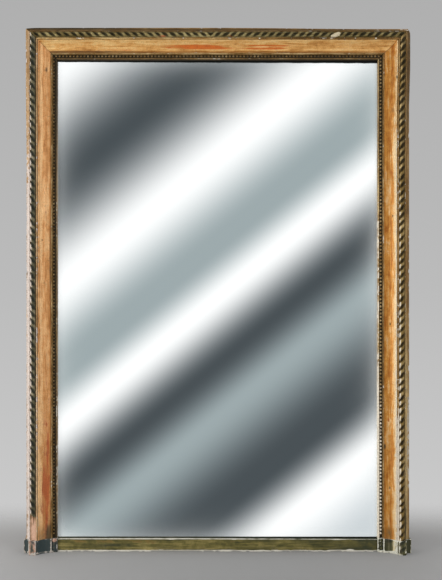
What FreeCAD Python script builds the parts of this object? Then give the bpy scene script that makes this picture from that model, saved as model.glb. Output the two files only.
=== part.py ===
# Tall overmantel mirror: a gilded frame on a low plinth, in front of a framed and
# panelled wooden back, with the glass held between the two.
#
# The frame stands on z = 0. X runs across it, the mirror faces -Y and Z is up.
# A place in the moulding is given by two lengths, both measured at a right angle
# to the run of the moulding: "inward" from the outer edge of the frame towards the
# glass, and "forward" from the back plane towards the viewer.

import FreeCAD, Part
import math
import os

import Sketcher

SIZES = (
    # the whole frame
    ("frame_width", 1240.0, "across the outer edges of the moulding"),
    ("frame_height", 1698.0, "floor to the top edge"),
    ("plinth_height", 45.0, "bottom rail and its two end blocks"),
    # panelled back
    ("back_thickness", 22.0, "stiles and rails of the back"),
    ("back_inset", 3.0, "back set in from the outer edge of the moulding"),
    ("stile_width", 120.0, "outer stiles, top rail and bottom rail of the back"),
    ("cross_width", 80.0, "muntins and the two rails between"),
    ("panel_thickness", 8.0, "floating panels, their grooves and the tenons"),
    ("panel_face_gap", 7.0, "back face of the back to the groove"),
    ("groove_depth", 10.0, "panel grooves"),
    ("panel_play", 1.5, "room beside a panel in its groove"),
    ("field_margin", 3.0, "flat around the raised field of a panel"),
    ("field_bevel", 28.0, "sloping border of the field"),
    ("field_rise", 4.0, "field above the panel's border, towards the back"),
    ("tenon_length", 60.0, "rails into stiles"),
    ("tenon_shoulder", 10.0, "rail edge to tenon edge"),
    ("muntin_tenon", 30.0, "muntins into rails"),
    ("peg_width", 8.0, "across the flats of an eight-sided peg"),
    # core of the front frame
    ("core_inset", 2.0, "core set in from the outer edge of the moulding"),
    ("core_width", 78.0, "core across"),
    ("core_thickness", 22.0, "core, back to front"),
    ("key_leg", 46.0, "corner key along each side of the frame"),
    ("key_thickness", 5.0, "corner key"),
    # outer moulding, heights above the core
    ("edge_fillet_width", 4.0, "flat at the outer edge"),
    ("edge_fillet_rise", 7.0, "flat at the outer edge"),
    ("cavetto_width", 11.5, "hollow between the edge and the rope"),
    ("cavetto_radius", 17.0, "hollow between the edge and the rope"),
    ("rim_width", 1.5, "narrow rims that end the two hollows"),
    ("rope_bed_width", 20.0, "flat under the rope"),
    ("rope_bed_rise", 23.0, "flat under the rope"),
    ("rim_rise", 3.0, "outer rim above the rope bed"),
    ("inner_fillet_width", 5.0, "flat inside the rope"),
    ("inner_fillet_rise", 4.0, "flat inside the rope, above the rope bed"),
    ("quirk_width", 1.5, "groove between the outer moulding and the cove"),
    ("quirk_depth", 3.5, "groove between the outer moulding and the cove"),
    # cove, heights above the core
    ("cove_outer_rise", 25.5, "cove at its outer rim"),
    ("cove_inner_rise", 5.0, "cove at its inner edge"),
    ("cove_radius", 39.5, "hollow of the cove"),
    # bead moulding, forward of the glass
    ("bead_leg_width", 6.0, "leg beside the glass"),
    ("bead_fillet_width", 3.5, "flat outside the pearls"),
    ("bead_fillet_rise", 18.5, "flat outside the pearls"),
    ("pearl_channel_width", 11.0, "channel for the pearls"),
    ("pearl_channel_rise", 9.5, "channel for the pearls"),
    ("sight_lip_width", 6.5, "lip at the glass"),
    ("sight_lip_rise", 12.5, "lip at the glass"),
    ("lip_round", 1.5, "eased edges of the lip"),
    # applied ornament
    ("rope_radius", 9.5, "half the rope's breadth"),
    ("rope_rise", 11.0, "rope above its bed"),
    ("rope_pitch", 24.4, "groove to groove along the rope"),
    ("rope_waist", 0.72, "rope in a groove, as a share of its full section"),
    ("rope_lean", 38.0, "groove away from square across the rope, degrees"),
    ("rope_turn", -21.0, "where the top rope changes hand, from the middle"),
    ("rope_loss", 123.0, "lower end of the left rope, where its foot is lost"),
    ("pearl_radius", 5.2, "half a pearl's breadth"),
    ("pearl_rise", 6.7, "pearl above its channel"),
    ("pearl_pitch", 11.5, "pearl to pearl"),
    ("pearl_waist", 0.5, "neck between pearls, as a share of the pearl"),
    # glass
    ("glass_thickness", 5.0, "mirror plate"),
    ("glass_cover", 13.0, "glass hidden behind the lip"),
    ("glass_play", 2.0, "room around the edge of the glass"),
    ("packing_thickness", 1.5, "felt behind the glass"),
    ("packing_width", 15.0, "felt behind the glass"),
    ("seat_length", 40.0, "blocks under the glass"),
    ("seat_in", 200.0, "blocks under the glass, from its edge to their middle"),
    # plinth
    ("rail_thickness", 15.0, "bottom rail in front of the back"),
    ("plinth_cover", 12.0, "glass hidden behind the bottom rail"),
    ("block_forward", 3.0, "block in front of the moulding above it"),
    ("block_outward", 6.0, "block beyond the outer edge of the frame"),
    # forged nails
    ("nail_length", 36.0, "nails from the back into the front frame"),
    ("nail_shank", 4.2, "square shank under the head"),
    ("nail_head", 9.0, "across the head"),
    ("nail_head_depth", 2.0, "head, front to back"),
    ("nail_face", 0.6, "flat on the head, as a share of the head"),
    ("nail_point", 1.0, "across the tip"),
    ("nail_in", 40.0, "nails from the outer edge of the frame"),
    # hanging plates
    ("plate_width", 60.0, "hanging plate across"),
    ("plate_height", 44.0, "hanging plate up and down"),
    ("plate_thickness", 2.5, "hanging plate"),
    ("plate_in", 220.0, "keyhole from the outer edge of the frame"),
    ("plate_to_nail", 80.0, "keyhole to the frame nail beside it"),
    ("plate_drop", 62.0, "keyhole below the top edge of the back"),
    ("keyhole_radius", 5.5, "round part, for the head of the wall screw"),
    ("keyhole_slot", 2.75, "half the width of the slot above it"),
    ("keyhole_rise", 12.0, "round part up to the end of the slot"),
    ("recess_depth", 12.0, "room for the screw head behind the plate"),
    ("recess_margin", 3.0, "recess around the keyhole"),
    ("plate_nail_length", 16.0, "nails of the hanging plates"),
    ("plate_nail_shank", 3.0, "square shank under the head"),
    ("plate_nail_head", 6.5, "across the head"),
    ("plate_nail_in", 8.0, "nails from the plate's end"),
)

doc = FreeCAD.newDocument("overmantel_mirror")
sheet = doc.addObject("Spreadsheet::Sheet", "Sizes")
for row, (alias, number, note) in enumerate(SIZES, start=1):
    sheet.set(f"A{row}", alias)
    sheet.set(f"B{row}", str(number))
    sheet.set(f"C{row}", note)
    sheet.setAlias(f"B{row}", alias)
doc.recompute()


class Size:
    """A length, with the expression over the sheet's cells that gives it."""

    def __init__(self, value, text):
        self.value = value
        self.text = text

    @staticmethod
    def of(item):
        return item if isinstance(item, Size) else Size(float(item), str(float(item)))

    def join(self, other, sign, value):
        return Size(value, f"({self.text} {sign} {Size.of(other).text})")

    def __add__(self, other):
        return self.join(other, "+", self.value + Size.of(other).value)

    def __sub__(self, other):
        return self.join(other, "-", self.value - Size.of(other).value)

    def __mul__(self, other):
        return self.join(other, "*", self.value * Size.of(other).value)

    def __truediv__(self, other):
        return self.join(other, "/", self.value / Size.of(other).value)

    def __neg__(self):
        return self * -1.0


class Sheet:
    """The sheet's cells by alias, each as a Size."""

    def __getattr__(self, alias):
        return Size(float(sheet.get(alias)), f"Sizes.{alias}")


S = Sheet()
ZERO = Size.of(0.0)

# ---------------------------------------------------------------- shared places

HALF_WIDTH = S.frame_width / 2
TOP = S.frame_height
BASE = S.plinth_height

# forward of the back plane
CORE_BACK = S.back_thickness
CORE_FRONT = CORE_BACK + S.core_thickness
ROPE_BED = CORE_FRONT + S.rope_bed_rise
ROPE_FRONT = ROPE_BED + S.rope_rise
INNER_FILLET = ROPE_BED + S.inner_fillet_rise
COVE_OUTER = CORE_FRONT + S.cove_outer_rise
COVE_INNER = CORE_FRONT + S.cove_inner_rise
GLASS_BACK = CORE_BACK + S.packing_thickness
GLASS_FRONT = GLASS_BACK + S.glass_thickness
BEAD_FILLET = GLASS_FRONT + S.bead_fillet_rise
PEARL_BED = GLASS_FRONT + S.pearl_channel_rise
SIGHT_LIP = GLASS_FRONT + S.sight_lip_rise
RAIL_FRONT = CORE_BACK + S.rail_thickness
BLOCK_FRONT = ROPE_FRONT + S.block_forward
GROOVE_BACK = S.panel_face_gap
GROOVE_FRONT = GROOVE_BACK + S.panel_thickness

# inward from the outer edge
CAVETTO_IN = S.edge_fillet_width + S.cavetto_width
ROPE_IN = CAVETTO_IN + S.rim_width
ROPE_OUT = ROPE_IN + S.rope_bed_width
QUIRK_IN = ROPE_OUT + S.inner_fillet_width
COVE_IN = QUIRK_IN + S.quirk_width
CORE_OUT = S.core_inset + S.core_width
PEARL_IN = CORE_OUT + S.bead_fillet_width
PEARL_OUT = PEARL_IN + S.pearl_channel_width
SIGHT = PEARL_OUT + S.sight_lip_width
GLASS_IN = SIGHT - S.glass_cover
ROPE_LINE = (ROPE_IN + ROPE_OUT) / 2
PEARL_LINE = (PEARL_IN + PEARL_OUT) / 2
LEG_OUT = CORE_OUT + S.bead_leg_width

# up from the floor
GLASS_FOOT = BASE - S.plinth_cover
SEAT = GLASS_FOOT - S.glass_play
BACK_TOP = TOP - S.back_inset

BACK_HALF = HALF_WIDTH - S.back_inset
BACK_INNER = BACK_HALF - S.stile_width
BACK_PITCH = (BACK_TOP - S.stile_width * 2 - S.cross_width * 2) / 3


def depth(forward):
    """The y of a place that lies forward of the back plane."""
    return BLOCK_FRONT / 2 - forward


def left(inward):
    """The x of a place that lies inward from the left edge."""
    return Size.of(inward) - HALF_WIDTH


# ---------------------------------------------------------------- general makers


def labelled(item, label):
    item.Label = label
    return item


def box(name, across, forward, up):
    """Box between two values of x, two distances forward and two heights."""
    item = doc.addObject("Part::Box", name)
    low = (across[0], depth(forward[1]), up[0])
    high = (across[1], depth(forward[0]), up[1])
    for side, start, end in zip(("Length", "Width", "Height"), low, high):
        item.setExpression(side, (Size.of(end) - start).text)
    for axis, start in zip("xyz", low):
        item.setExpression(f"Placement.Base.{axis}", Size.of(start).text)
    return item


def wedge(name, forward, back_end, front_end):
    """Tapered block between two distances forward.

    Each end is a pair of spans: two values of x and two of z.
    """
    item = doc.addObject("Part::Wedge", name)
    for end, (across, up) in (("", front_end), ("2", back_end)):
        for axis, span in (("X", across), ("Z", up)):
            item.setExpression(f"{axis}{end}min", Size.of(span[0]).text)
            item.setExpression(f"{axis}{end}max", Size.of(span[1]).text)
    item.setExpression("Ymin", depth(forward[1]).text)
    item.setExpression("Ymax", depth(forward[0]).text)
    return item


def group(name, items):
    item = doc.addObject("Part::Compound", name)
    item.Links = items
    return item


def fuse(name, items):
    item = doc.addObject("Part::MultiFuse", name)
    item.Shapes = items
    item.Refine = True
    return item


def cut(name, base, tools):
    """Base less one tool, or less several that are grouped first."""
    item = doc.addObject("Part::Cut", name)
    item.Base = base
    item.Tool = tools[0] if len(tools) == 1 else group(f"{name}_tools", tools)
    return item


def mirrored(name, source):
    """The same piece on the other side of the middle plane."""
    item = doc.addObject("Part::Mirroring", name)
    item.Source = source
    item.Normal = FreeCAD.Vector(1, 0, 0)
    return item


def arc_between(start, end, radius, hollow):
    """Arc from start to end that bulges away from the hollow point's side.

    The centre lies on the side of the chord where the hollow point is.
    """
    middle = (start + end) * 0.5
    chord = end - start
    reach = math.sqrt(max(radius**2 - (chord.Length / 2) ** 2, 0.0))
    normal = FreeCAD.Vector(-chord.y, chord.x, 0).normalize()
    if (hollow - middle).dot(normal) < 0:
        normal = normal * -1
    centre = middle + normal * reach
    angles = [math.atan2(end_point.y - centre.y, end_point.x - centre.x) for end_point in (start, end)]
    forwards = (angles[1] - angles[0]) % (2 * math.pi) < math.pi
    first, last = angles if forwards else reversed(angles)
    circle = Part.Circle(centre, FreeCAD.Vector(0, 0, 1), radius)
    return Part.ArcOfCircle(circle, first, last), forwards


def outline(body, plane, corners, arcs=None, offset=ZERO):
    """Sketch of a closed outline on one of the body's own planes.

    Corners are pairs of Sizes. Arcs map the number of a corner to the radius of the
    arc that leaves it and to a point on the arc's hollow side; other edges are straight.
    Offset moves the sketch along the plane's normal.
    """
    arcs = arcs or {}
    sketch = body.newObject("Sketcher::SketchObject", f"{body.Name}_outline")
    sketch.AttachmentSupport = [(own_plane(body, plane), "")]
    sketch.MapMode = "FlatFace"
    sketch.setExpression("AttachmentOffset.Base.z", Size.of(offset).text)
    points = [FreeCAD.Vector(Size.of(a).value, Size.of(b).value, 0) for a, b in corners]
    starts = []
    ends = []
    for index, point in enumerate(points):
        following = points[(index + 1) % len(points)]
        if index in arcs:
            radius, hollow = arcs[index]
            hollow = FreeCAD.Vector(hollow[0].value, hollow[1].value, 0)
            shape, forwards = arc_between(point, following, radius.value, hollow)
        else:
            shape, forwards = Part.LineSegment(point, following), True
        edge = sketch.addGeometry(shape, False)
        starts.append((edge, 1 if forwards else 2))
        ends.append((edge, 2 if forwards else 1))
    for index, end in enumerate(ends):
        sketch.addConstraint(Sketcher.Constraint("Coincident", *end, *starts[(index + 1) % len(ends)]))
    for index, (a, b) in enumerate(corners):
        for kind, place, number in (("DistanceX", a, points[index].x), ("DistanceY", b, points[index].y)):
            bind(sketch, Sketcher.Constraint(kind, -1, 1, *starts[index], number), f"{kind}{index}", place)
    for index, (radius, _) in arcs.items():
        edge = starts[index][0]
        bind(sketch, Sketcher.Constraint("Radius", edge, radius.value), f"Radius{index}", radius)
    return sketch


def bind(sketch, constraint, name, place):
    """Add a constraint whose value follows the sheet."""
    number = sketch.addConstraint(constraint)
    sketch.renameConstraint(number, name)
    sketch.setExpression(f"Constraints.{name}", Size.of(place).text)


def own_plane(body, role):
    return next(item for item in body.Origin.OriginFeatures if item.Role == role)


def pad(body, sketch, length, symmetric=False):
    item = body.newObject("PartDesign::Pad", f"{body.Name}_pad")
    item.Profile = sketch
    item.setExpression("Length", length.text)
    item.Midplane = symmetric
    return item


def pocket_through(body, sketch):
    """Cut the sketch through the whole body, both ways."""
    item = body.newObject("PartDesign::Pocket", f"{body.Name}_pocket{len(body.Group)}")
    item.Profile = sketch
    item.Type = "ThroughAll"
    item.Midplane = True
    return item


def plate(name, corners, forward):
    """Flat piece with an outline in the front view, between two distances forward."""
    body = doc.addObject("PartDesign::Body", name)
    sketch = outline(body, "XZ_Plane", corners, offset=-depth(forward[0]))
    pad(body, sketch, forward[1] - forward[0])
    return body


# ---------------------------------------------------------------- mouldings


def upright_moulding(name, section, arcs, foot, inner):
    """Left moulding: its section carried up from the foot and mitred at the top."""
    body = doc.addObject("PartDesign::Body", name)
    corners = [(left(inward), depth(forward)) for inward, forward in section]
    hollows = {
        index: (radius, (left(inward), depth(forward))) for index, (radius, (inward, forward)) in arcs.items()
    }
    pad(body, outline(body, "XY_Plane", corners, hollows, offset=foot), TOP - foot)
    margin = S.core_thickness
    waste = [
        (left(-margin), TOP + margin),
        (left(inner + margin), TOP - inner - margin),
        (left(inner + margin), TOP + margin),
    ]
    pocket_through(body, outline(body, "XZ_Plane", waste))
    return body


def top_moulding(name, section, arcs, inner):
    """Top moulding: the same section carried across and mitred at both ends."""
    body = doc.addObject("PartDesign::Body", name)
    corners = [(depth(forward), TOP - inward) for inward, forward in section]
    hollows = {
        index: (radius, (depth(forward), TOP - inward)) for index, (radius, (inward, forward)) in arcs.items()
    }
    pad(body, outline(body, "YZ_Plane", corners, hollows), S.frame_width, symmetric=True)
    margin = S.core_thickness
    for side in (1.0, -1.0):
        waste = [
            ((left(-margin)) * side, TOP + margin),
            ((left(inner + margin)) * side, TOP - inner - margin),
            ((left(-margin)) * side, TOP - inner - margin),
        ]
        pocket_through(body, outline(body, "XZ_Plane", waste))
    return body


def moulding_set(name, section, arcs, inner):
    """Left, right and top lengths of one moulding."""
    upright = labelled(upright_moulding(f"{name}_left", section, arcs, BASE, inner), f"{name}_left")
    other = labelled(mirrored(f"{name}_right", upright), f"{name}_right")
    over = labelled(top_moulding(f"{name}_top", section, arcs, inner), f"{name}_top")
    return [upright, other, over]


def outer_moulding():
    """Edge fillet, hollow, bed for the rope and the fillet inside it."""
    rim = ROPE_BED + S.rim_rise
    section = [
        (ZERO, CORE_FRONT),
        (ZERO, CORE_FRONT + S.edge_fillet_rise),
        (S.edge_fillet_width, CORE_FRONT + S.edge_fillet_rise),
        (CAVETTO_IN, rim),
        (ROPE_IN, rim),
        (ROPE_IN, ROPE_BED),
        (ROPE_OUT, ROPE_BED),
        (ROPE_OUT, INNER_FILLET),
        (QUIRK_IN, INNER_FILLET),
        (QUIRK_IN, INNER_FILLET - S.quirk_depth),
        (COVE_IN, INNER_FILLET - S.quirk_depth),
        (COVE_IN, CORE_FRONT),
    ]
    return moulding_set("outer_moulding", section, {2: (S.cavetto_radius, (ZERO, rim))}, COVE_IN)


def cove_moulding():
    """Wide hollow that falls from the rope to the pearls."""
    section = [
        (COVE_IN, CORE_FRONT),
        (COVE_IN, COVE_OUTER),
        (COVE_IN + S.rim_width, COVE_OUTER),
        (CORE_OUT, COVE_INNER),
        (CORE_OUT, CORE_FRONT),
    ]
    return moulding_set("cove_moulding", section, {2: (S.cove_radius, (CORE_OUT, COVE_OUTER))}, CORE_OUT)


def bead_moulding():
    """Innermost moulding: a leg beside the glass, a pearl channel and the sight lip."""
    section = [
        (CORE_OUT, CORE_BACK),
        (CORE_OUT, BEAD_FILLET),
        (PEARL_IN, BEAD_FILLET),
        (PEARL_IN, PEARL_BED),
        (PEARL_OUT, PEARL_BED),
        (PEARL_OUT, SIGHT_LIP - S.lip_round),
        (PEARL_OUT + S.lip_round, SIGHT_LIP),
        (SIGHT - S.lip_round, SIGHT_LIP),
        (SIGHT, SIGHT_LIP - S.lip_round),
        (SIGHT, GLASS_FRONT),
        (LEG_OUT, GLASS_FRONT),
        (LEG_OUT, CORE_BACK),
    ]
    return moulding_set("bead_moulding", section, {}, SIGHT)


def front_core(keys, fixings):
    """Flat, mitred members that carry the mouldings, nailed to the back."""
    near = S.core_inset
    side = [
        (left(near), BASE),
        (left(CORE_OUT), BASE),
        (left(CORE_OUT), TOP - CORE_OUT),
        (left(near), TOP - near),
    ]
    over = [
        (left(near), TOP - near),
        (left(CORE_OUT), TOP - CORE_OUT),
        (-left(CORE_OUT), TOP - CORE_OUT),
        (-left(near), TOP - near),
    ]
    forward = (CORE_BACK, CORE_FRONT)
    upright = cut("front_core_left", plate("core_side_blank", side, forward), [keys, fixings])
    across = cut("front_core_top", plate("core_top_blank", over, forward), [keys, fixings])
    return [
        labelled(upright, "front_core_left"),
        labelled(mirrored("front_core_right", upright), "front_core_right"),
        labelled(across, "front_core_top"),
    ]


def corner_keys():
    """Three-cornered keys let into the outer corners, across the mitres."""
    near = S.core_inset
    corners = [
        (left(near), TOP - near),
        (left(near), TOP - near - S.key_leg),
        (left(near) + S.key_leg, TOP - near),
    ]
    back = CORE_BACK + (S.core_thickness - S.key_thickness) / 2
    key = plate("corner_key_left", corners, (back, back + S.key_thickness))
    return labelled(group("corner_keys", [key, mirrored("corner_key_right", key)]), "corner_keys")


# ---------------------------------------------------------------- applied ornament


CROWN_SHARE = 0.5  # flat crown of a lobe, as a share of its breadth


def lobed_bar(stations, breadth, rise, lean):
    """Flat-backed bar whose section swells and shrinks along its run.

    Stations are pairs of distance along the bar and size of the section there, as a
    share of the full section, which has two sloping sides and a flat crown. It stands
    on the plane z = 0 of the bar's own frame, which runs along x with y across. Every
    section is sheared along the run by lean times y, so a lean cuts the bar as the
    strands of a rope do. All sections are alike in shape, so every facet is flat.
    """
    ring = []
    for along, share in stations:
        section = []
        for sideways, height in ((1.0, 0.0), (CROWN_SHARE, 1.0), (-CROWN_SHARE, 1.0), (-1.0, 0.0)):
            across = breadth * share * sideways
            section.append(FreeCAD.Vector(along + lean * across, across, rise * share * height))
        ring.append(section)
    facets = [ring[0], ring[-1]]
    for section, following in zip(ring, ring[1:]):
        for side in range(len(section) - 1):
            facets.append([section[side], section[side + 1], following[side + 1], following[side]])
    facets.append([section[0] for section in ring] + [section[-1] for section in reversed(ring)])
    faces = [Part.Face(Part.makePolygon(facet + facet[:1])) for facet in facets]
    solid = Part.Solid(Part.makeShell(faces))
    if solid.Volume < 0:
        solid.reverse()
    return solid


def bar_stations(length, pitch, waist):
    """Waist and swell in turn, a pitch apart, that cover the length from its middle."""
    count = math.ceil(length / pitch / 2) + 1
    stations = []
    for lobe in range(-count, count):
        stations.append((lobe * pitch, waist))
        stations.append(((lobe + 0.5) * pitch, 1.0))
    stations.append((count * pitch, waist))
    return stations


def ornament(name, stations, section, line, bed, lean, hand, span):
    """A lobed bar laid on the moulding and trimmed to the front-view outline span.

    Hand is "left", "right" or "top". Line and bed place the bar across the moulding
    and forward; section is its breadth and rise.
    """
    bar = lobed_bar(stations, section[0].value, section[1].value, lean)
    middle = (TOP.value + BASE.value) / 2
    # the bar's own x, y and z in the frame: along the run, across it and forward
    turned = {"left": (1, -1), "right": (1, 1), "top": (0, 1)}[hand]
    along = FreeCAD.Vector(1 - turned[0], 0, turned[0])
    across = FreeCAD.Vector(-turned[0], 0, 1 - turned[0])
    forward = FreeCAD.Vector(0, -1, 0)
    place = {
        "left": FreeCAD.Vector(left(line).value, 0, middle),
        "right": FreeCAD.Vector(-left(line).value, 0, middle),
        "top": FreeCAD.Vector(0, 0, (TOP - line).value),
    }[hand]
    place.y = depth(bed).value
    matrix = FreeCAD.Matrix(
        along.x, across.x, forward.x, place.x,
        along.y, across.y, forward.y, place.y,
        along.z, across.z, forward.z, place.z,
        0, 0, 0, 1,
    )
    bar = bar.transformed(matrix)
    corners = [FreeCAD.Vector(a.value, bar.BoundBox.YMin - 1, b.value) for a, b in span]
    trim = Part.Face(Part.makePolygon(corners + corners[:1])).extrude(
        FreeCAD.Vector(0, bar.BoundBox.YLength + 2, 0)
    )
    item = doc.addObject("Part::Feature", name)
    item.Shape = bar.common(trim).Solids[0]
    item.Placement = FreeCAD.Placement()
    return labelled(item, name)


def side_span(inner, outer, foot, side):
    """Front view of a strip beside the glass, mitred at the top."""
    return [
        (left(outer) * side, foot),
        (left(inner) * side, foot),
        (left(inner) * side, TOP - inner),
        (left(outer) * side, TOP - outer),
    ]


def top_span(inner, outer, start=None, end=None):
    """Front view of a strip over the glass, mitred or cut square at each end."""
    low = [left(inner) if start is None else start, -left(inner) if end is None else end]
    high = [left(outer) if start is None else start, -left(outer) if end is None else end]
    return [(low[0], TOP - inner), (low[1], TOP - inner), (high[1], TOP - outer), (high[0], TOP - outer)]


def rope():
    """Twisted rope in four lengths, in mirrored hands, that meet over the glass."""
    slope = math.tan(math.radians(S.rope_lean.value))
    section = (S.rope_radius, S.rope_rise)
    inner, outer = ROPE_OUT, ROPE_IN
    side = bar_stations(TOP.value, S.rope_pitch.value, S.rope_waist.value)
    over = bar_stations(S.frame_width.value, S.rope_pitch.value, S.rope_waist.value)
    over = [(along + S.rope_turn.value, share) for along, share in over]
    loss = side_span(inner, outer, S.rope_loss, 1.0)
    right = side_span(inner, outer, BASE, -1.0)
    first = top_span(inner, outer, end=S.rope_turn)
    last = top_span(inner, outer, start=S.rope_turn)
    return [
        ornament("rope_left", side, section, ROPE_LINE, ROPE_BED, slope, "left", loss),
        ornament("rope_right", side, section, ROPE_LINE, ROPE_BED, -slope, "right", right),
        ornament("rope_top_left", over, section, ROPE_LINE, ROPE_BED, -slope, "top", first),
        ornament("rope_top_right", over, section, ROPE_LINE, ROPE_BED, slope, "top", last),
    ]


def pearls():
    """Strings of pearls in the channel of the bead moulding."""
    section = (S.pearl_radius, S.pearl_rise)
    inner, outer = PEARL_OUT, PEARL_IN
    side = bar_stations(TOP.value, S.pearl_pitch.value, S.pearl_waist.value)
    over = bar_stations(S.frame_width.value, S.pearl_pitch.value, S.pearl_waist.value)
    left_span = side_span(inner, outer, BASE, 1.0)
    right_span = side_span(inner, outer, BASE, -1.0)
    top = top_span(inner, outer)
    return [
        ornament("pearls_left", side, section, PEARL_LINE, PEARL_BED, 0.0, "left", left_span),
        ornament("pearls_right", side, section, PEARL_LINE, PEARL_BED, 0.0, "right", right_span),
        ornament("pearls_top", over, section, PEARL_LINE, PEARL_BED, 0.0, "top", top),
    ]


# ---------------------------------------------------------------- plinth


def plinth_block(fixings):
    """End block: the moulding's outline above it, carried forward and outward."""
    near = -S.block_outward
    flat = CORE_FRONT + S.edge_fillet_rise + S.block_forward
    step = INNER_FILLET + S.block_forward
    cove = COVE_INNER + S.block_forward
    bead = BEAD_FILLET
    section = [
        (near, CORE_BACK),
        (near, flat),
        (near + S.edge_fillet_width + S.rim_width, flat),
        (CAVETTO_IN - S.rim_width, BLOCK_FRONT - S.rim_rise),
        (CAVETTO_IN, BLOCK_FRONT),
        (ROPE_OUT + S.rim_width, BLOCK_FRONT),
        (ROPE_OUT + S.rim_width, step),
        (COVE_IN, step),
        (CORE_OUT, cove),
        (PEARL_IN, cove),
        (PEARL_IN, bead),
        (PEARL_OUT, bead),
        (PEARL_OUT, SIGHT_LIP + S.block_forward),
        (SIGHT, SIGHT_LIP + S.block_forward),
        (SIGHT, CORE_BACK),
    ]
    body = doc.addObject("PartDesign::Body", "plinth_block_blank")
    corners = [(left(inward), depth(forward)) for inward, forward in section]
    arcs = {
        2: (S.cavetto_radius + S.block_outward, (left(near), depth(BLOCK_FRONT))),
        7: (S.cove_radius, (left(CORE_OUT), depth(BLOCK_FRONT))),
    }
    pad(body, outline(body, "XY_Plane", corners, arcs), S.plinth_height)
    rebate = box("block_rebate", (left(LEG_OUT), left(SIGHT)), (CORE_BACK, GLASS_FRONT), (SEAT, BASE))
    block = labelled(cut("plinth_block_left", body, [rebate, fixings]), "plinth_block_left")
    return [block, labelled(mirrored("plinth_block_right", block), "plinth_block_right")]


def plinth_rail(fixings):
    """Bottom rail between the blocks, rebated behind for the foot of the glass."""
    body = doc.addObject("PartDesign::Body", "plinth_rail_blank")
    section = [
        (depth(CORE_BACK), ZERO),
        (depth(RAIL_FRONT), ZERO),
        (depth(RAIL_FRONT), BASE),
        (depth(GLASS_FRONT), BASE),
        (depth(GLASS_FRONT), SEAT),
        (depth(CORE_BACK), SEAT),
    ]
    pad(body, outline(body, "YZ_Plane", section), S.frame_width - SIGHT * 2, symmetric=True)
    return labelled(cut("plinth_rail", body, [fixings]), "plinth_rail")


# ---------------------------------------------------------------- glass


def glazing():
    """Mirror plate, the felt behind it and the two blocks that it stands on."""
    edge = left(GLASS_IN)
    head = TOP - GLASS_IN
    glass = box("mirror_plate", (edge, -edge), (GLASS_BACK, GLASS_FRONT), (GLASS_FOOT, head))
    inner = edge + S.packing_width
    felt = (CORE_BACK, GLASS_BACK)
    strips = [
        box("felt_left", (edge, inner), felt, (GLASS_FOOT, head)),
        box("felt_right", (-inner, -edge), felt, (GLASS_FOOT, head)),
        box("felt_top", (inner, -inner), felt, (head - S.packing_width, head)),
        box("felt_foot", (inner, -inner), felt, (GLASS_FOOT, GLASS_FOOT + S.packing_width)),
    ]
    half = S.seat_length / 2
    seats = []
    for name, middle in (("seat_left", edge + S.seat_in), ("seat_right", -edge - S.seat_in)):
        seats.append(box(name, (middle - half, middle + half), (GLASS_BACK, GLASS_FRONT), (SEAT, GLASS_FOOT)))
    return [
        labelled(glass, "mirror_plate"),
        labelled(group("glass_packing", strips), "glass_packing"),
        labelled(group("glass_seats", seats), "glass_seats"),
    ]


# ---------------------------------------------------------------- panelled back


PLACES = ("lower", "middle", "upper")  # rows of muntins and panels, from the foot up
RAILS = ("bottom", "lower", "upper", "top")
SLOT = (GROOVE_BACK, GROOVE_FRONT)
THROUGH = (ZERO, S.back_thickness)


def rail_heights():
    """Foot and head of each rail of the back, from the lowest to the highest."""
    heights = [(ZERO, S.stile_width)]
    for _ in range(2):
        foot = heights[-1][1] + BACK_PITCH
        heights.append((foot, foot + S.cross_width))
    heights.append((BACK_TOP - S.stile_width, BACK_TOP))
    return heights


def back_pegs(heights):
    """Eight-sided wooden pegs, two through each tenon."""
    pegs = []
    across = BACK_INNER + S.tenon_length / 2
    for foot, head in heights:
        for side in (-1.0, 1.0):
            for level in (0.25, 0.75):
                peg = doc.addObject("Part::Prism", f"peg{len(pegs)}")
                peg.Polygon = 8
                peg.setExpression("Circumradius", (S.peg_width / 2 / math.cos(math.pi / 8)).text)
                peg.setExpression("Height", S.back_thickness.text)
                peg.Placement.Rotation = FreeCAD.Rotation(FreeCAD.Vector(1, 0, 0), -90)
                peg.setExpression("Placement.Base.x", (across * side).text)
                peg.setExpression("Placement.Base.y", depth(S.back_thickness).text)
                peg.setExpression("Placement.Base.z", (foot + (head - foot) * level).text)
                pegs.append(peg)
    return labelled(group("back_pegs", pegs), "back_pegs")


def rail_tongues(heights):
    """One long tongue a rail, whose ends are its two tenons."""
    reach = BACK_INNER + S.tenon_length
    tongues = []
    for rail, (foot, head) in zip(RAILS, heights):
        level = (foot + S.tenon_shoulder, head - S.tenon_shoulder)
        tongues.append(box(f"{rail}_rail_tongue", (-reach, reach), SLOT, level))
    return tongues


def back_stiles(heights, tongues, fixings):
    """Stiles, mortised for every rail and grooved for the panels between."""
    blank = box("back_stile_blank", (-BACK_HALF, -BACK_INNER), THROUGH, (ZERO, BACK_TOP))
    level = (heights[0][1] - S.tenon_shoulder, heights[-1][0] + S.tenon_shoulder)
    groove = box("back_stile_groove", (-BACK_INNER - S.groove_depth, -BACK_INNER), SLOT, level)
    joints = fuse("back_stile_joints", [groove, *tongues])
    stile = labelled(cut("back_stile_left", blank, [joints, *fixings]), "back_stile_left")
    return [stile, labelled(mirrored("back_stile_right", stile), "back_stile_right")]


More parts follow.
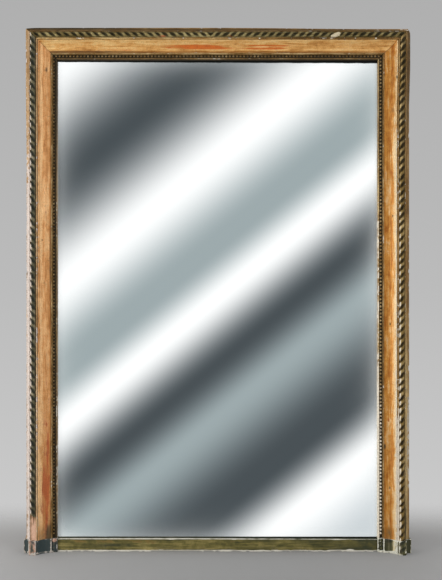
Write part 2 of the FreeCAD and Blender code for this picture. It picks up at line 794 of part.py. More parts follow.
def back_muntins(heights):
    """Muntins, each tenoned into two rails, and the tongues of those tenons."""
    half = S.cross_width / 2
    core = half - S.groove_depth
    muntins = []
    tongues = []
    for place, low, high in zip(PLACES, heights, heights[1:]):
        label = f"back_muntin_{place}"
        foot, head = low[1], high[0]
        tongue = box(f"{label}_tongue", (-core, core), SLOT, (foot - S.muntin_tenon, head + S.muntin_tenon))
        stock = fuse(f"{label}_stock", [box(f"{label}_blank", (-half, half), THROUGH, (foot, head)), tongue])
        grooves = [
            box(f"{label}_groove_left", (-half, -core), SLOT, (foot, head)),
            box(f"{label}_groove_right", (core, half), SLOT, (foot, head)),
        ]
        muntins.append(labelled(cut(label, stock, grooves), label))
        tongues.append(tongue)
    return muntins, tongues


def back_rails(heights, tongues, muntin_tongues, fixings, hanging):
    """Rails, grooved for the panels and mortised for the muntins beside them."""
    across = (-BACK_INNER, BACK_INNER)
    rails = []
    for number, (rail, tongue) in enumerate(zip(RAILS, tongues)):
        label = f"back_{rail}_rail"
        foot, head = heights[number]
        stock = fuse(f"{label}_stock", [box(f"{label}_blank", across, THROUGH, (foot, head)), tongue])
        waste = []
        if number > 0:
            waste.append(box(f"{label}_groove_foot", across, SLOT, (foot, foot + S.groove_depth)))
            waste.append(muntin_tongues[number - 1])
        if number < len(RAILS) - 1:
            waste.append(box(f"{label}_groove_head", across, SLOT, (head - S.groove_depth, head)))
            waste.append(muntin_tongues[number])
        tools = [fuse(f"{label}_joints", waste), *fixings]
        if rail == "top":
            tools += hanging
        rails.append(labelled(cut(label, stock, tools), label))
    return rails


def back_panels(heights):
    """Six floating panels, two between each pair of rails."""
    panels = []
    across = (-BACK_INNER, -S.cross_width / 2)
    for place, low, high in zip(PLACES, heights, heights[1:]):
        label = f"back_panel_{place}"
        panel = labelled(fielded_panel(f"{label}_left", across, (low[1], high[0])), f"{label}_left")
        panels += [panel, labelled(mirrored(f"{label}_right", panel), f"{label}_right")]
    return panels


def panelled_back(pegs, nails_through, hanging):
    """Two stiles, four rails and three muntins, grooved for six floating panels."""
    heights = rail_heights()
    tongues = rail_tongues(heights)
    fixings = [pegs, nails_through]
    muntins, muntin_tongues = back_muntins(heights)
    made = back_stiles(heights, tongues, fixings) + muntins
    made += back_rails(heights, tongues, muntin_tongues, fixings, hanging)
    return made + back_panels(heights)


def fielded_panel(name, across, up):
    """Panel for the opening between two values of x and two heights.

    It stands in the grooves around the opening and has a raised field at the back.
    """
    play = S.panel_play
    room = S.groove_depth
    tongue = box(
        f"{name}_border",
        (across[0] - room + play, across[1] + room - play),
        (GROOVE_BACK, GROOVE_FRONT),
        (up[0] - room, up[1] + room - play * 2),
    )
    ends = []
    for inset in (S.field_margin + S.field_bevel, S.field_margin):
        ends.append(((across[0] + inset, across[1] - inset), (up[0] + inset, up[1] - inset)))
    field = wedge(f"{name}_field", (GROOVE_BACK - S.field_rise, GROOVE_BACK), *ends)
    return fuse(name, [tongue, field])


# ---------------------------------------------------------------- nails and hanging plates


def spike(name, across, up, forward, back_size, front_size):
    """Square spike between two distances forward, centred on an x and a z."""
    ends = []
    for size in (back_size, front_size):
        half = Size.of(size) / 2
        ends.append(((across - half, across + half), (up - half, up + half)))
    return wedge(name, forward, *ends)


def nails(name, spots, length, shank, head):
    """Forged nails with square shanks and flattened heads, each at an x and a z.

    The heads lie flush with the back plane and the shanks point forward.
    """
    made = []
    for count, (across, up) in enumerate(spots):
        cap = (ZERO, S.nail_head_depth)
        body = (S.nail_head_depth, length)
        parts = [
            spike(f"{name}_head{count}", across, up, cap, head * S.nail_face, head),
            spike(f"{name}_shank{count}", across, up, body, shank, S.nail_point),
        ]
        made.append(fuse(f"{name}{count}", parts))
    return labelled(group(name, made), name)


def back_nails():
    """Nails from the back into the front core, the end blocks and the bottom rail."""
    side = left(S.nail_in)
    low = SEAT / 2
    upright = (TOP - BASE) / 4
    beside = left(S.plate_in + S.plate_to_nail)
    spots = [
        (side, BASE + upright),
        (side, TOP - upright),
        (beside, TOP - S.nail_in),
        (beside, low),
        (side, low),
    ]
    spots += [(-across, up) for across, up in spots]
    return nails("back_nails", spots, S.nail_length, S.nail_shank, S.nail_head)


def hanging_plates():
    """Two keyhole plates let into the top rail of the back, and room behind them."""
    level = BACK_TOP - S.plate_drop
    middle = left(S.plate_in)
    half = S.plate_width / 2
    centre = level + S.keyhole_rise / 2
    low, high = centre - S.plate_height / 2, centre + S.plate_height / 2
    face = (ZERO, S.plate_thickness)
    blank = box("hanging_plate_blank", (middle - half, middle + half), face, (low, high))
    end = level + S.keyhole_rise
    rounds = []
    holes = (("keyhole_round", S.keyhole_radius, level), ("keyhole_end", S.keyhole_slot, end))
    for name, radius, height in holes:
        item = doc.addObject("Part::Cylinder", name)
        item.setExpression("Radius", radius.text)
        item.setExpression("Height", S.plate_thickness.text)
        item.Placement.Rotation = FreeCAD.Rotation(FreeCAD.Vector(1, 0, 0), -90)
        item.setExpression("Placement.Base.x", middle.text)
        item.setExpression("Placement.Base.y", depth(S.plate_thickness).text)
        item.setExpression("Placement.Base.z", height.text)
        rounds.append(item)
    slot = box("keyhole_slot", (middle - S.keyhole_slot, middle + S.keyhole_slot), face, (level, end))
    keyhole = fuse("keyhole", [*rounds, slot])
    ends = (middle - half + S.plate_nail_in, middle + half - S.plate_nail_in)
    spots = [(across * side, centre) for side in (1.0, -1.0) for across in ends]
    size = (S.plate_nail_length, S.plate_nail_shank, S.plate_nail_head)
    fixings = nails("hanging_plate_nails", spots, *size)
    plate_left = labelled(cut("hanging_plate_left", blank, [keyhole, fixings]), "hanging_plate_left")
    plate_right = labelled(mirrored("hanging_plate_right", plate_left), "hanging_plate_right")
    room = S.keyhole_radius + S.recess_margin
    recess = box(
        "keyhole_recess",
        (middle - room, middle + room),
        (ZERO, S.recess_depth),
        (level - room, end + S.keyhole_slot + S.recess_margin),
    )
    seat = fuse("plate_seat_left", [blank, recess])
    return [plate_left, plate_right, fixings], [seat, mirrored("plate_seat_right", seat), fixings]


# ---------------------------------------------------------------- the whole mirror


def build():
    """Every sub-part of the mirror, in the order it would be put together."""
    fixings = back_nails()
    plates, plate_seats = hanging_plates()
    pegs = back_pegs(rail_heights())
    keys = corner_keys()
    pieces = panelled_back(pegs, fixings, plate_seats)
    pieces += [pegs, *plates]
    pieces += front_core(keys, fixings)
    pieces += [keys, fixings]
    pieces += plinth_block(fixings)
    pieces.append(plinth_rail(fixings))
    pieces += glazing()
    pieces += outer_moulding() + cove_moulding() + bead_moulding()
    pieces += rope() + pearls()
    return pieces


def check(pieces):
    """Stop on any failed object, and on a missing or faulty sub-part."""
    for item in doc.Objects:
        if "Invalid" in item.State or "Error" in item.State:
            raise RuntimeError(f"{item.Name} failed: {item.State}")
    for piece in pieces:
        if piece.Shape.isNull() or not piece.Shape.isValid() or not piece.Shape.Solids:
            raise RuntimeError(f"{piece.Label} has no valid solid")


def main():
    pieces = build()
    doc.recompute()
    check(pieces)
    os.makedirs("parts", exist_ok=True)
    for piece in pieces:
        piece.Shape.exportStep(os.path.join("parts", f"{piece.Label}.step"))
        print(f"{piece.Label}: {len(piece.Shape.Solids)} solids, {piece.Shape.Volume / 1000:.1f} cm3")


main()
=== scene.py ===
"""Trumeau mirror: worn gilding, paint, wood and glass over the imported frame, and the studio around it.

Lengths are in metres. Across a moulding, "inward" is the distance from the outer edge of the
frame and "forward" the distance from the wall side of the back. "Run" is the place along a
moulding: a height on the two sides, and the distance to the right of the middle over the top.
"""

import logging
import math
from dataclasses import dataclass, field
from enum import Enum
from typing import Sequence

import bpy
import numpy as np
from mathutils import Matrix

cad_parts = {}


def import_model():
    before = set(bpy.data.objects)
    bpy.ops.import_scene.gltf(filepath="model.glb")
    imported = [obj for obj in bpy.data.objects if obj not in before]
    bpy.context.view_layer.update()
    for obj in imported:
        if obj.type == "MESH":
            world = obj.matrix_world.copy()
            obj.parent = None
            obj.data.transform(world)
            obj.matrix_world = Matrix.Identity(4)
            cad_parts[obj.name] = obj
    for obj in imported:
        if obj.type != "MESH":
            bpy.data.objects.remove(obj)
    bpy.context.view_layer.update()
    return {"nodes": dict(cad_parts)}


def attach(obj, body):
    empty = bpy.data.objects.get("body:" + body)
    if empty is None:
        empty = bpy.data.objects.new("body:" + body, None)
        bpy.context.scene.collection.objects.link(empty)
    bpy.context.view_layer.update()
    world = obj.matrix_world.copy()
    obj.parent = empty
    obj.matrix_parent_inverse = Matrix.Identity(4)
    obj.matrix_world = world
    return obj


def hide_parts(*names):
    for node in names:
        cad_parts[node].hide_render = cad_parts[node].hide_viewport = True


LOG = logging.getLogger("mirror")
MM = 0.001
HALF_WIDTH = 0.620  # over the mouldings
HALF_SPAN = 0.626  # over the plinth blocks
TOP = 1.698
PLINTH = 0.045
WALL_SIDE = 0.0405  # y of the wall side of the back, and half the depth
SIDE_MIDDLE = 0.8715  # middle of the two sides, where ropes and pearls are centred
ROPE_TURN = -0.021  # where the rope over the glass turns its hand
ROPE_PITCH = 24.4 * MM
PEARL_PITCH = 11.5 * MM
GRAIN_UV = "run"
CREASE = math.radians(40)
MITRE_STEPS = (0.0, 0.5, 1.1, 1.9, 3.0, 4.6)  # mm from a mitre, where the mesh is fine

Colour = tuple[float, float, float]
Shown = tuple[int, int, int]
Corners = Sequence[tuple[float, float, float]]


class Side(Enum):
    """Where a moulding lies on the frame."""

    LEFT = "left"
    RIGHT = "right"
    TOP = "top"


class Grain(Enum):
    """Way that the grain of a board runs, with the stretch of its pattern."""

    UPRIGHT = (62.0, 62.0, 2.4)
    LEVEL = (2.4, 62.0, 62.0)


def shade(red: int, green: int, blue: int) -> Colour:
    """Scene colour of a displayed colour.

    Args:
        red: Red as displayed, 0 to 255.
        green: Green as displayed.
        blue: Blue as displayed.

    Returns:
        The colour in linear light: c / 12.92 below 0.04045, else ((c + 0.055) / 1.055) to the power 2.4.
    """
    shown = [value / 255 for value in (red, green, blue)]
    return tuple(c / 12.92 if c <= 0.04045 else ((c + 0.055) / 1.055) ** 2.4 for c in shown)


def placed(name: str, data: bpy.types.ID) -> bpy.types.Object:
    """A new object of the scene with this mesh, lamp or camera."""
    made = bpy.data.objects.new(name, data)
    bpy.context.scene.collection.objects.link(made)
    return made


# ---------------------------------------------------------------- shapes


def rise(value: np.ndarray, start: float, end: float) -> np.ndarray:
    """Even rise from 0 at the start to 1 at the end: (value - start) / (end - start), held between 0 and 1."""
    return np.clip((value - start) / (end - start), 0, 1)


def hill(value: np.ndarray, middle: float, half: float) -> np.ndarray:
    """Smooth hill exp(-((value - middle) / half)^2)."""
    return np.exp(-(((value - middle) / half) ** 2))


class Weather:
    """Repeatable smooth noise: a table of random heights, blended between its points."""

    def __init__(self, seed: int) -> None:
        """Draws the table from the seed."""
        self.table = np.random.default_rng(seed).random((256, 256))

    def field(self, first: np.ndarray, second: np.ndarray, octaves: int = 3) -> np.ndarray:
        """Noise from 0 to 1, about 0.5 on average.

        Each octave has twice the frequency and half the weight of the one before, and between
        table points the height follows the smooth step 3f^2 - 2f^3 both ways.

        Args:
            first: First coordinate, in table cells.
            second: Second coordinate, in table cells.
            octaves: Number of octaves.

        Returns:
            Array of the coordinates' common shape.
        """
        first, second = np.broadcast_arrays(first, second)
        total, weight, norm = np.zeros(first.shape), 1.0, 0.0
        for octave in range(octaves):
            a = first * 2**octave + 17.3 * octave
            b = second * 2**octave + 5.1 * octave
            i, j = np.floor(a).astype(int), np.floor(b).astype(int)
            fa, fb = a - i, b - j
            fa, fb = fa * fa * (3 - 2 * fa), fb * fb * (3 - 2 * fb)
            i0, i1, j0, j1 = i & 255, (i + 1) & 255, j & 255, (j + 1) & 255
            low = self.table[i0, j0] * (1 - fa) + self.table[i1, j0] * fa
            high = self.table[i0, j1] * (1 - fa) + self.table[i1, j1] * fa
            total += weight * (low * (1 - fb) + high * fb)
            norm += weight
            weight *= 0.5
        return total / norm

    def bite(self, first: np.ndarray, second: np.ndarray, threshold: float, octaves: int = 3) -> np.ndarray:
        """How far the noise stands above a threshold, and 0 below it."""
        return np.clip(self.field(first, second, octaves) - threshold, 0, 1)


@dataclass(frozen=True)
class Section:
    """Closed outline across a moulding, with the outward direction and the sharpness of each point."""

    inward: np.ndarray
    forward: np.ndarray
    out_inward: np.ndarray
    out_forward: np.ndarray
    arris: np.ndarray
    recess: np.ndarray

    @property
    def girth(self) -> np.ndarray:
        """Distance round the outline at each point, and once more at the end."""
        u, t = np.append(self.inward, self.inward[0]), np.append(self.forward, self.forward[0])
        return np.append(0.0, np.cumsum(np.hypot(np.diff(u), np.diff(t))))


def hollow(start: tuple[float, float], end: tuple[float, float], radius: float, near: tuple[float, float],
           count: int = 20) -> list[tuple[float, float, float]]:
    """Points of a concave arc between two corners, in millimetres.

    The centre lies on the chord's normal through its middle, sqrt(r^2 - (chord / 2)^2) from it
    and on the side of the place named.

    Args:
        start: First corner, inward and forward.
        end: Last corner.
        radius: Radius of the arc.
        near: A place on the centre's side of the chord.
        count: Number of points.

    Returns:
        Corners with no rounding.
    """
    a, b = np.array(start), np.array(end)
    chord, middle = b - a, (a + b) / 2
    across = np.array((-chord[1], chord[0])) / np.hypot(*chord)
    away = math.sqrt(radius**2 - (np.hypot(*chord) / 2) ** 2)
    centre = middle + across * away * np.sign(np.dot(np.array(near) - middle, across))
    first, last = np.arctan2(*(a - centre)[::-1]), np.arctan2(*(b - centre)[::-1])
    turn = (last - first + math.pi) % (2 * math.pi) - math.pi
    angle = first + turn * np.linspace(0, 1, count)
    return [(float(u), float(t), 0.0)
            for u, t in zip(centre[0] + radius * np.cos(angle), centre[1] + radius * np.sin(angle))]


def outline(corners: Corners, spacing: float = 2.6) -> Section:
    """Section from corners in millimetres, each with the length of its rounding.

    A rounded corner is the parabola (1-s)^2 p + 2 s (1-s) q + s^2 r from the point p before
    the corner q to the point r after it, and the straights between are divided evenly. The
    turn at a point, smoothed over its neighbours, makes it an arris or a recess.

    Args:
        corners: Inward, forward and rounding of each corner, in order round the section.
        spacing: Longest step on a straight.

    Returns:
        The section, in metres.
    """
    most, sharp = 0.45, 0.3  # share of a side that a rounding may take, and the turn of a full arris
    place = np.array([(u, t) for u, t, _ in corners])
    bends = []
    for index, (_, _, rounding) in enumerate(corners):
        corner, before, after = place[index], place[index - 1], place[(index + 1) % len(place)]
        if rounding <= 0:
            bends.append(corner[None])
            continue
        first, last = before - corner, after - corner
        first *= min(rounding, most * np.hypot(*first)) / np.hypot(*first)
        last *= min(rounding, most * np.hypot(*last)) / np.hypot(*last)
        s = np.linspace(0, 1, 5)[:, None]
        bends.append((1 - s) ** 2 * (corner + first) + 2 * s * (1 - s) * corner + s**2 * (corner + last))
    points = []
    for bend, following in zip(bends, bends[1:] + bends[:1]):
        points.append(bend)
        gap = following[0] - bend[-1]
        parts = int(np.hypot(*gap) // spacing)
        if parts:
            points.append(bend[-1] + gap * (np.arange(1, parts + 1) / (parts + 1))[:, None])
    ring = np.concatenate(points) * MM
    ahead, behind = np.roll(ring, -1, 0) - ring, ring - np.roll(ring, 1, 0)
    hand = np.sign(np.sum(ring[:, 0] * np.roll(ring[:, 1], -1) - np.roll(ring[:, 0], -1) * ring[:, 1]))
    along = ahead / np.hypot(*ahead.T)[:, None] + behind / np.hypot(*behind.T)[:, None]
    along /= np.maximum(np.hypot(*along.T), 1e-9)[:, None]
    turn = np.arctan2(behind[:, 0] * ahead[:, 1] - behind[:, 1] * ahead[:, 0], np.sum(behind * ahead, 1)) * hand
    soft = np.convolve(np.tile(np.clip(turn / sharp, -1, 1), 3), (0.25, 0.5, 0.5, 0.5, 0.25), "same")
    soft = soft[len(turn): 2 * len(turn)]
    return Section(ring[:, 0], ring[:, 1], along[:, 1] * hand, -along[:, 0] * hand,
                   np.clip(soft, 0, 1), np.clip(-soft, 0, 1))


@dataclass(frozen=True)
class Knock:
    """A blow to the frame: every point near its place is pushed the same way."""

    place: tuple[float, float, float]
    radius: float
    push: tuple[float, float, float]

    def bruise(self, points: np.ndarray) -> np.ndarray:
        """Points moved by push times exp(-(distance / radius)^2)."""
        reach = np.sum((points - np.array(self.place) * MM) ** 2, -1) / (self.radius * MM) ** 2
        return points + np.exp(-reach)[..., None] * np.array(self.push) * MM


KNOCKS = (
    Knock((622, -20, 1700), 15, (-6.0, 0, -9.0)),
    Knock((-622, -30, 1700), 6, (1.5, 0, -1.0)),
    Knock((577, -30, 1536), 6, (1.2, 3.0, 0)),
    Knock((-554, -12, 1563), 5, (0, 2.2, 0)),
    Knock((380, -36, 1671), 10, (0, 3.2, 0)),
    Knock((-623, -25, 905), 7, (1.6, 0, 0)),
    Knock((-564, -20, 1011), 4, (0, 1.2, 0)),
    Knock((558, -20, 740), 4, (0, 1.5, 0)),
    Knock((-40, -30, 1700), 10, (0, 0, -1.6)),
)


@dataclass(frozen=True)
class Skin:
    """Closed tube of points: sections in order along a run, with masks for the finish."""

    points: np.ndarray
    across: np.ndarray
    along: np.ndarray
    masks: dict[str, np.ndarray]

    def piece(self, name: str, material: bpy.types.Material) -> bpy.types.Object:
        """The mesh object of the tube, closed by a flat cap at each end.

        Each face joins two neighbours of one section to the same two of the next. If the
        volume, the sum of v0 . (v1 x v2) / 6 over the triangles, is negative, every face is
        turned, so that all of them look outwards.

        Args:
            name: Name of the piece.
            material: Its finish.

        Returns:
            The new object, linked to the scene.
        """
        rows, columns, _ = self.points.shape
        index = np.arange(rows * columns).reshape(rows, columns)
        ring = np.roll(index, -1, 1)
        quads = np.stack([index[:-1], ring[:-1], ring[1:], index[1:]], -1).reshape(-1, 4)
        flat = self.points.reshape(-1, 3)
        corner = flat[quads]
        volume = sum(np.einsum("ij,ij->", corner[:, 0], np.cross(corner[:, k], corner[:, k + 1])) for k in (1, 2))
        caps = [index[0, ::-1], index[-1]]
        for cap in caps:
            volume += np.einsum("ij,ij->", np.repeat(flat[cap[:1]], columns - 2, 0),
                                np.cross(flat[cap[1:-1]], flat[cap[2:]]))
        wide = np.broadcast_to(self.across, (rows, columns + 1))
        long = np.broadcast_to(self.along, (rows, columns)) if self.along.ndim == 2 else \
            np.broadcast_to(self.along[:, None], (rows, columns))
        long = np.concatenate([long, long[:, :1]], 1)
        grid = np.stack([wide, long], -1)
        uv = np.stack([grid[:-1, :-1], grid[:-1, 1:], grid[1:, 1:], grid[1:, :-1]], 2).reshape(-1, 4, 2)
        cap_uv = [grid[0, :-1][::-1], grid[-1, :-1]]
        if volume < 0:
            quads, uv = quads[:, ::-1], uv[:, ::-1]
            caps, cap_uv = [cap[::-1] for cap in caps], [part[::-1] for part in cap_uv]
        faces = quads.tolist() + [cap.tolist() for cap in caps]
        uvs = np.concatenate([uv.reshape(-1, 2)] + cap_uv)
        return mesh_piece(name, flat, faces, material, uvs, {k: v.ravel() for k, v in self.masks.items()})


def mesh_piece(name: str, points: np.ndarray, faces: list[list[int]], material: bpy.types.Material,
               uvs: np.ndarray, masks: dict[str, np.ndarray]) -> bpy.types.Object:
    """A smooth-shaded mesh object with creases, a grain map and masks.

    Args:
        name: Name of the piece.
        points: Place of each point.
        faces: Point numbers of each face.
        material: Its finish.
        uvs: Place of each face corner on the grain map.
        masks: One value per point for each mask of the finish.

    Returns:
        The new object, linked to the scene.
    """
    mesh = bpy.data.meshes.new(name)
    mesh.from_pydata(points.tolist(), [], faces)
    mesh.uv_layers.new(name=GRAIN_UV).data.foreach_set("uv", uvs.astype(np.float32).ravel())
    for mask, values in masks.items():
        held = mesh.attributes.new(mask, "FLOAT", "POINT")
        held.data.foreach_set("value", np.ascontiguousarray(values, np.float32))
    mesh.polygons.foreach_set("use_smooth", np.ones(len(faces), bool))
    mesh.set_sharp_from_angle(angle=CREASE)
    mesh.materials.append(material)
    mesh.update()
    return placed(name, mesh)


def stand_for(piece: bpy.types.Object, node: str, slot: str) -> None:
    """Rides the piece on the frame in place of a CAD node.

    Args:
        piece: The piece.
        node: The CAD node that it replaces.
        slot: Not used.
    """
    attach(piece, "root")
    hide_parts(node)
    LOG.info("%s stands for %s: %d faces", piece.name, node, len(piece.data.polygons))


# ---------------------------------------------------------------- wear


@dataclass(frozen=True)
class Mark:
    """A mended, rubbed or stained place on a moulding, or a place where painted shade or highlight is laid or held
    back, in millimetres.
    """

    mask: str
    run: float
    inward: float
    long: float
    wide: float
    amount: float
    lean: float = 0.0

    def lay(self, masks: dict[str, np.ndarray], run: np.ndarray, inward: np.ndarray) -> None:
        """Adds amount times exp(-(a^2 + b^2)^2), where a and b are the distances in half-lengths.

        Args:
            masks: The masks of the moulding, of which one is changed.
            run: Place along the moulding.
            inward: Place across it.
        """
        a = (run / MM - self.run - self.lean * (inward / MM - self.inward)) / self.long
        b = (inward / MM - self.inward) / self.wide
        masks[self.mask] += self.amount * np.exp(-((a * a + b * b) ** 2))


def marks(**groups: Sequence[Sequence[float]]) -> tuple[Mark, ...]:
    """Marks from their numbers, grouped by the mask that they change."""
    return tuple(Mark(mask, *numbers) for mask, group in groups.items() for numbers in group)


@dataclass(frozen=True)
class Patina:
    """How a finish has aged across a moulding, with the shade and highlight painted into it.

    Each row gives, at a place inward in millimetres, the tone of the finish from deep to pale, raised in places
    for a painted highlight, and the shares of red clay, white gesso with painted highlight, and dirt with painted
    shade.
    """

    rows: tuple[tuple[float, float, float, float, float], ...]
    streak: float = 0.3
    blotch: float = 0.3
    marks: tuple[Mark, ...] = ()
    seed: int = 1

    def masks(self, inward: np.ndarray, run: np.ndarray, arris: np.ndarray, recess: np.ndarray,
              loss: np.ndarray) -> dict[str, np.ndarray]:
        """Mask values: the table across, streaked along the run and blotched, then the marks.

        Args:
            inward: Place across the moulding.
            run: Place along it.
            arris: Share of a raised edge.
            recess: Share of an inner corner.
            loss: Depth of the chips.

        Returns:
            The masks of tone, red clay, white gesso with painted highlight, and dirt with painted shade.
        """
        table = np.array(self.rows)
        weather = Weather(self.seed)
        inward, run = np.broadcast_arrays(inward, run)
        streak = weather.field(run / 0.085, inward / 0.0032) - 0.5
        blotch = weather.field(run / 0.016 + 40, inward / 0.011 + 9) - 0.5
        tone, clay, ground, dirt = (np.interp(inward / MM, table[:, 0], table[:, k]) for k in (1, 2, 3, 4))
        # Painted shade: the recess term darkens inner corners, on top of the dirt that gathers there; raised edges are
        # rubbed lighter and cleaner.
        masks = {
            "tone": tone + self.streak * streak + 0.4 * self.blotch * blotch + 0.12 * arris,
            "clay": clay + self.streak * streak + self.blotch * blotch,
            "ground": ground + self.blotch * blotch + 0.5 * self.streak * streak + 0.1 * arris + loss / MM * 0.5,
            "dirt": dirt + 0.6 * self.streak * streak + self.blotch * blotch + 0.45 * recess - 0.12 * arris,
        }
        for mark in self.marks:
            mark.lay(masks, run, inward)
        return masks


def steps(length: float, spacing: float, both: bool) -> np.ndarray:
    """Shares of a length, from 0 to 1, with extra places close to the mitre at its end, or at both ends.

    Args:
        length: The longest line of the run.
        spacing: Even step.
        both: Whether the start is a mitre too.

    Returns:
        Increasing array.
    """
    close = np.array(MITRE_STEPS) * MM / length
    clear = 1.3 * close[-1]
    even = np.linspace(0, 1, max(2, round(length / spacing)) + 1)
    even = even[(even > (clear if both else -1)) & (even < 1 - clear)]
    return np.concatenate(([close] if both else []) + [even, 1 - close[::-1]])


def lay_out(side: Side, inward: np.ndarray, forward: np.ndarray, run: np.ndarray) -> np.ndarray:
    """Points in the frame: x = inward - half the width on the left, mirrored on the right, z = top - inward over it.

    Args:
        side: Side of the frame.
        inward: Distance from the outer edge.
        forward: Distance from the wall side.
        run: Place along the side.

    Returns:
        Array of x, y and z.
    """
    depth = WALL_SIDE - forward
    if side is Side.TOP:
        return np.stack(np.broadcast_arrays(run, depth, TOP - inward), -1)
    hand = -1.0 if side is Side.LEFT else 1.0
    return np.stack(np.broadcast_arrays(hand * (HALF_WIDTH - inward), depth, run), -1)


def settle(points: np.ndarray) -> np.ndarray:
    """Points of the worn frame, kept within its overall size.

    The upper edge drops towards the right by right_drop times 3s^2 - 2s^3, where s grows from
    0 in the middle to 1 at the corner, and by left_drop s^2 close to the left corner. Both
    fade out evenly over `deep` below the edge. The left edge is worn back by up to left_wear
    below 1.5 m, and the right side's head stands head_out further out than the rest.

    Args:
        points: Places in the frame.

    Returns:
        The moved places.
    """
    right_drop, left_drop, deep, left_wear, head_out = (n * MM for n in (4.6, 3.0, 15, 2.4, 3.6))
    x, z = points[..., 0], points[..., 2]
    right, left = rise(x, -0.02, 0.60), rise(x, -0.575, -0.625)
    drop = (right_drop * right**2 * (3 - 2 * right) + left_drop * left**2) * rise(z, TOP - deep, TOP)
    worn = left_wear * rise(x, -0.606, -0.616) * rise(z, 1.50, 1.30) * rise(z, 0.04, 0.07)
    head = head_out * rise(x, 0.53, 0.56) * rise(z, 1.45, 1.57)
    moved = np.stack([x + worn + head, points[..., 1], z - drop], -1)
    return np.clip(moved, (-HALF_SPAN, -WALL_SIDE, 0), (HALF_SPAN, WALL_SIDE, TOP))


def battered(points: np.ndarray) -> np.ndarray:
    """Points moved by every knock, then settled."""
    for knock in KNOCKS:
        points = knock.bruise(points)
    return settle(points)


@dataclass
class Moulding:
    """One gilded moulding of the frame, on its left, right and top."""

    name: str
    node: str
    slot: str
    corners: Corners
    patinas: dict[Side, Patina]
    spacing: float = 0.0032
    chip: float = 1.6
    drawn: float = 0.0
    seed: int = 3
    wave: float = 0.4 * MM
    joint: float = 0.35 * MM

    def skin(self, side: Side) -> Skin:
        """The tube of one length.

        The run of each line of the section goes from the plinth to the mitre, top - inward, or
        over the top from mitre to mitre. The surface moves along its outward direction by
        wave (noise - 1/2), inwards at arrises by chips of up to `chip` mm where a fine and a
        slow noise together pass a threshold, and by joint exp(-(d / 1 mm)^2) at a distance d
        from the mitre, which opens its joint. Waves and chips fade out 6 mm from the mitre.
        The inner lip of the two sides is drawn back by `drawn`.

        Args:
            side: Which length.

        Returns:
            The tube.
        """
        section = outline(self.corners)
        weather = Weather(self.seed * 7 + list(Side).index(side))
        inward, forward = section.inward[None], section.forward[None]
        if side is Side.TOP:
            reach = HALF_WIDTH - inward
            run = -reach + 2 * reach * steps(2 * HALF_WIDTH, self.spacing, True)[:, None]
            mitre = reach - np.abs(run)
        else:
            inward = inward - self.drawn * rise(inward, 0.0955, 0.099)
            run = PLINTH + (TOP - inward - PLINTH) * steps(TOP - PLINTH, self.spacing, False)[:, None]
            mitre = TOP - inward - run
        calm = rise(mitre, 0, 0.006)
        wave = (weather.field(run / 0.055, inward / 0.03) - 0.5) * self.wave * calm
        nick = weather.field(run / 0.0085, inward / 0.006 + forward / 0.006, 2)
        deep = weather.field(run / 0.05 + 50, inward / 0.02, 2)
        loss = section.arris * np.clip(nick + 0.5 * deep - 0.93, 0, 1) * self.chip * 9 * MM * calm
        loss = np.minimum(loss, self.chip * MM) * (forward > 0.03)
        move = wave - loss - self.joint * hill(mitre, 0, 0.001)
        points = lay_out(side, inward + section.out_inward * move, forward + section.out_forward * move, run)
        masks = self.patinas[side].masks(inward, run, section.arris, section.recess, loss)
        masks["dirt"] += 0.5 * hill(mitre, 0, 0.0012)
        return Skin(battered(points), section.girth, run, masks)

    def build(self, finishes: dict[Side, bpy.types.Material]) -> None:
        """Makes the three lengths.

        Args:
            finishes: Material of each side.
        """
        for side in Side:
            piece = self.skin(side).piece(f"{self.name}_{side.value}", finishes[side])
            stand_for(piece, f"{self.node}_{side.value}", self.slot)


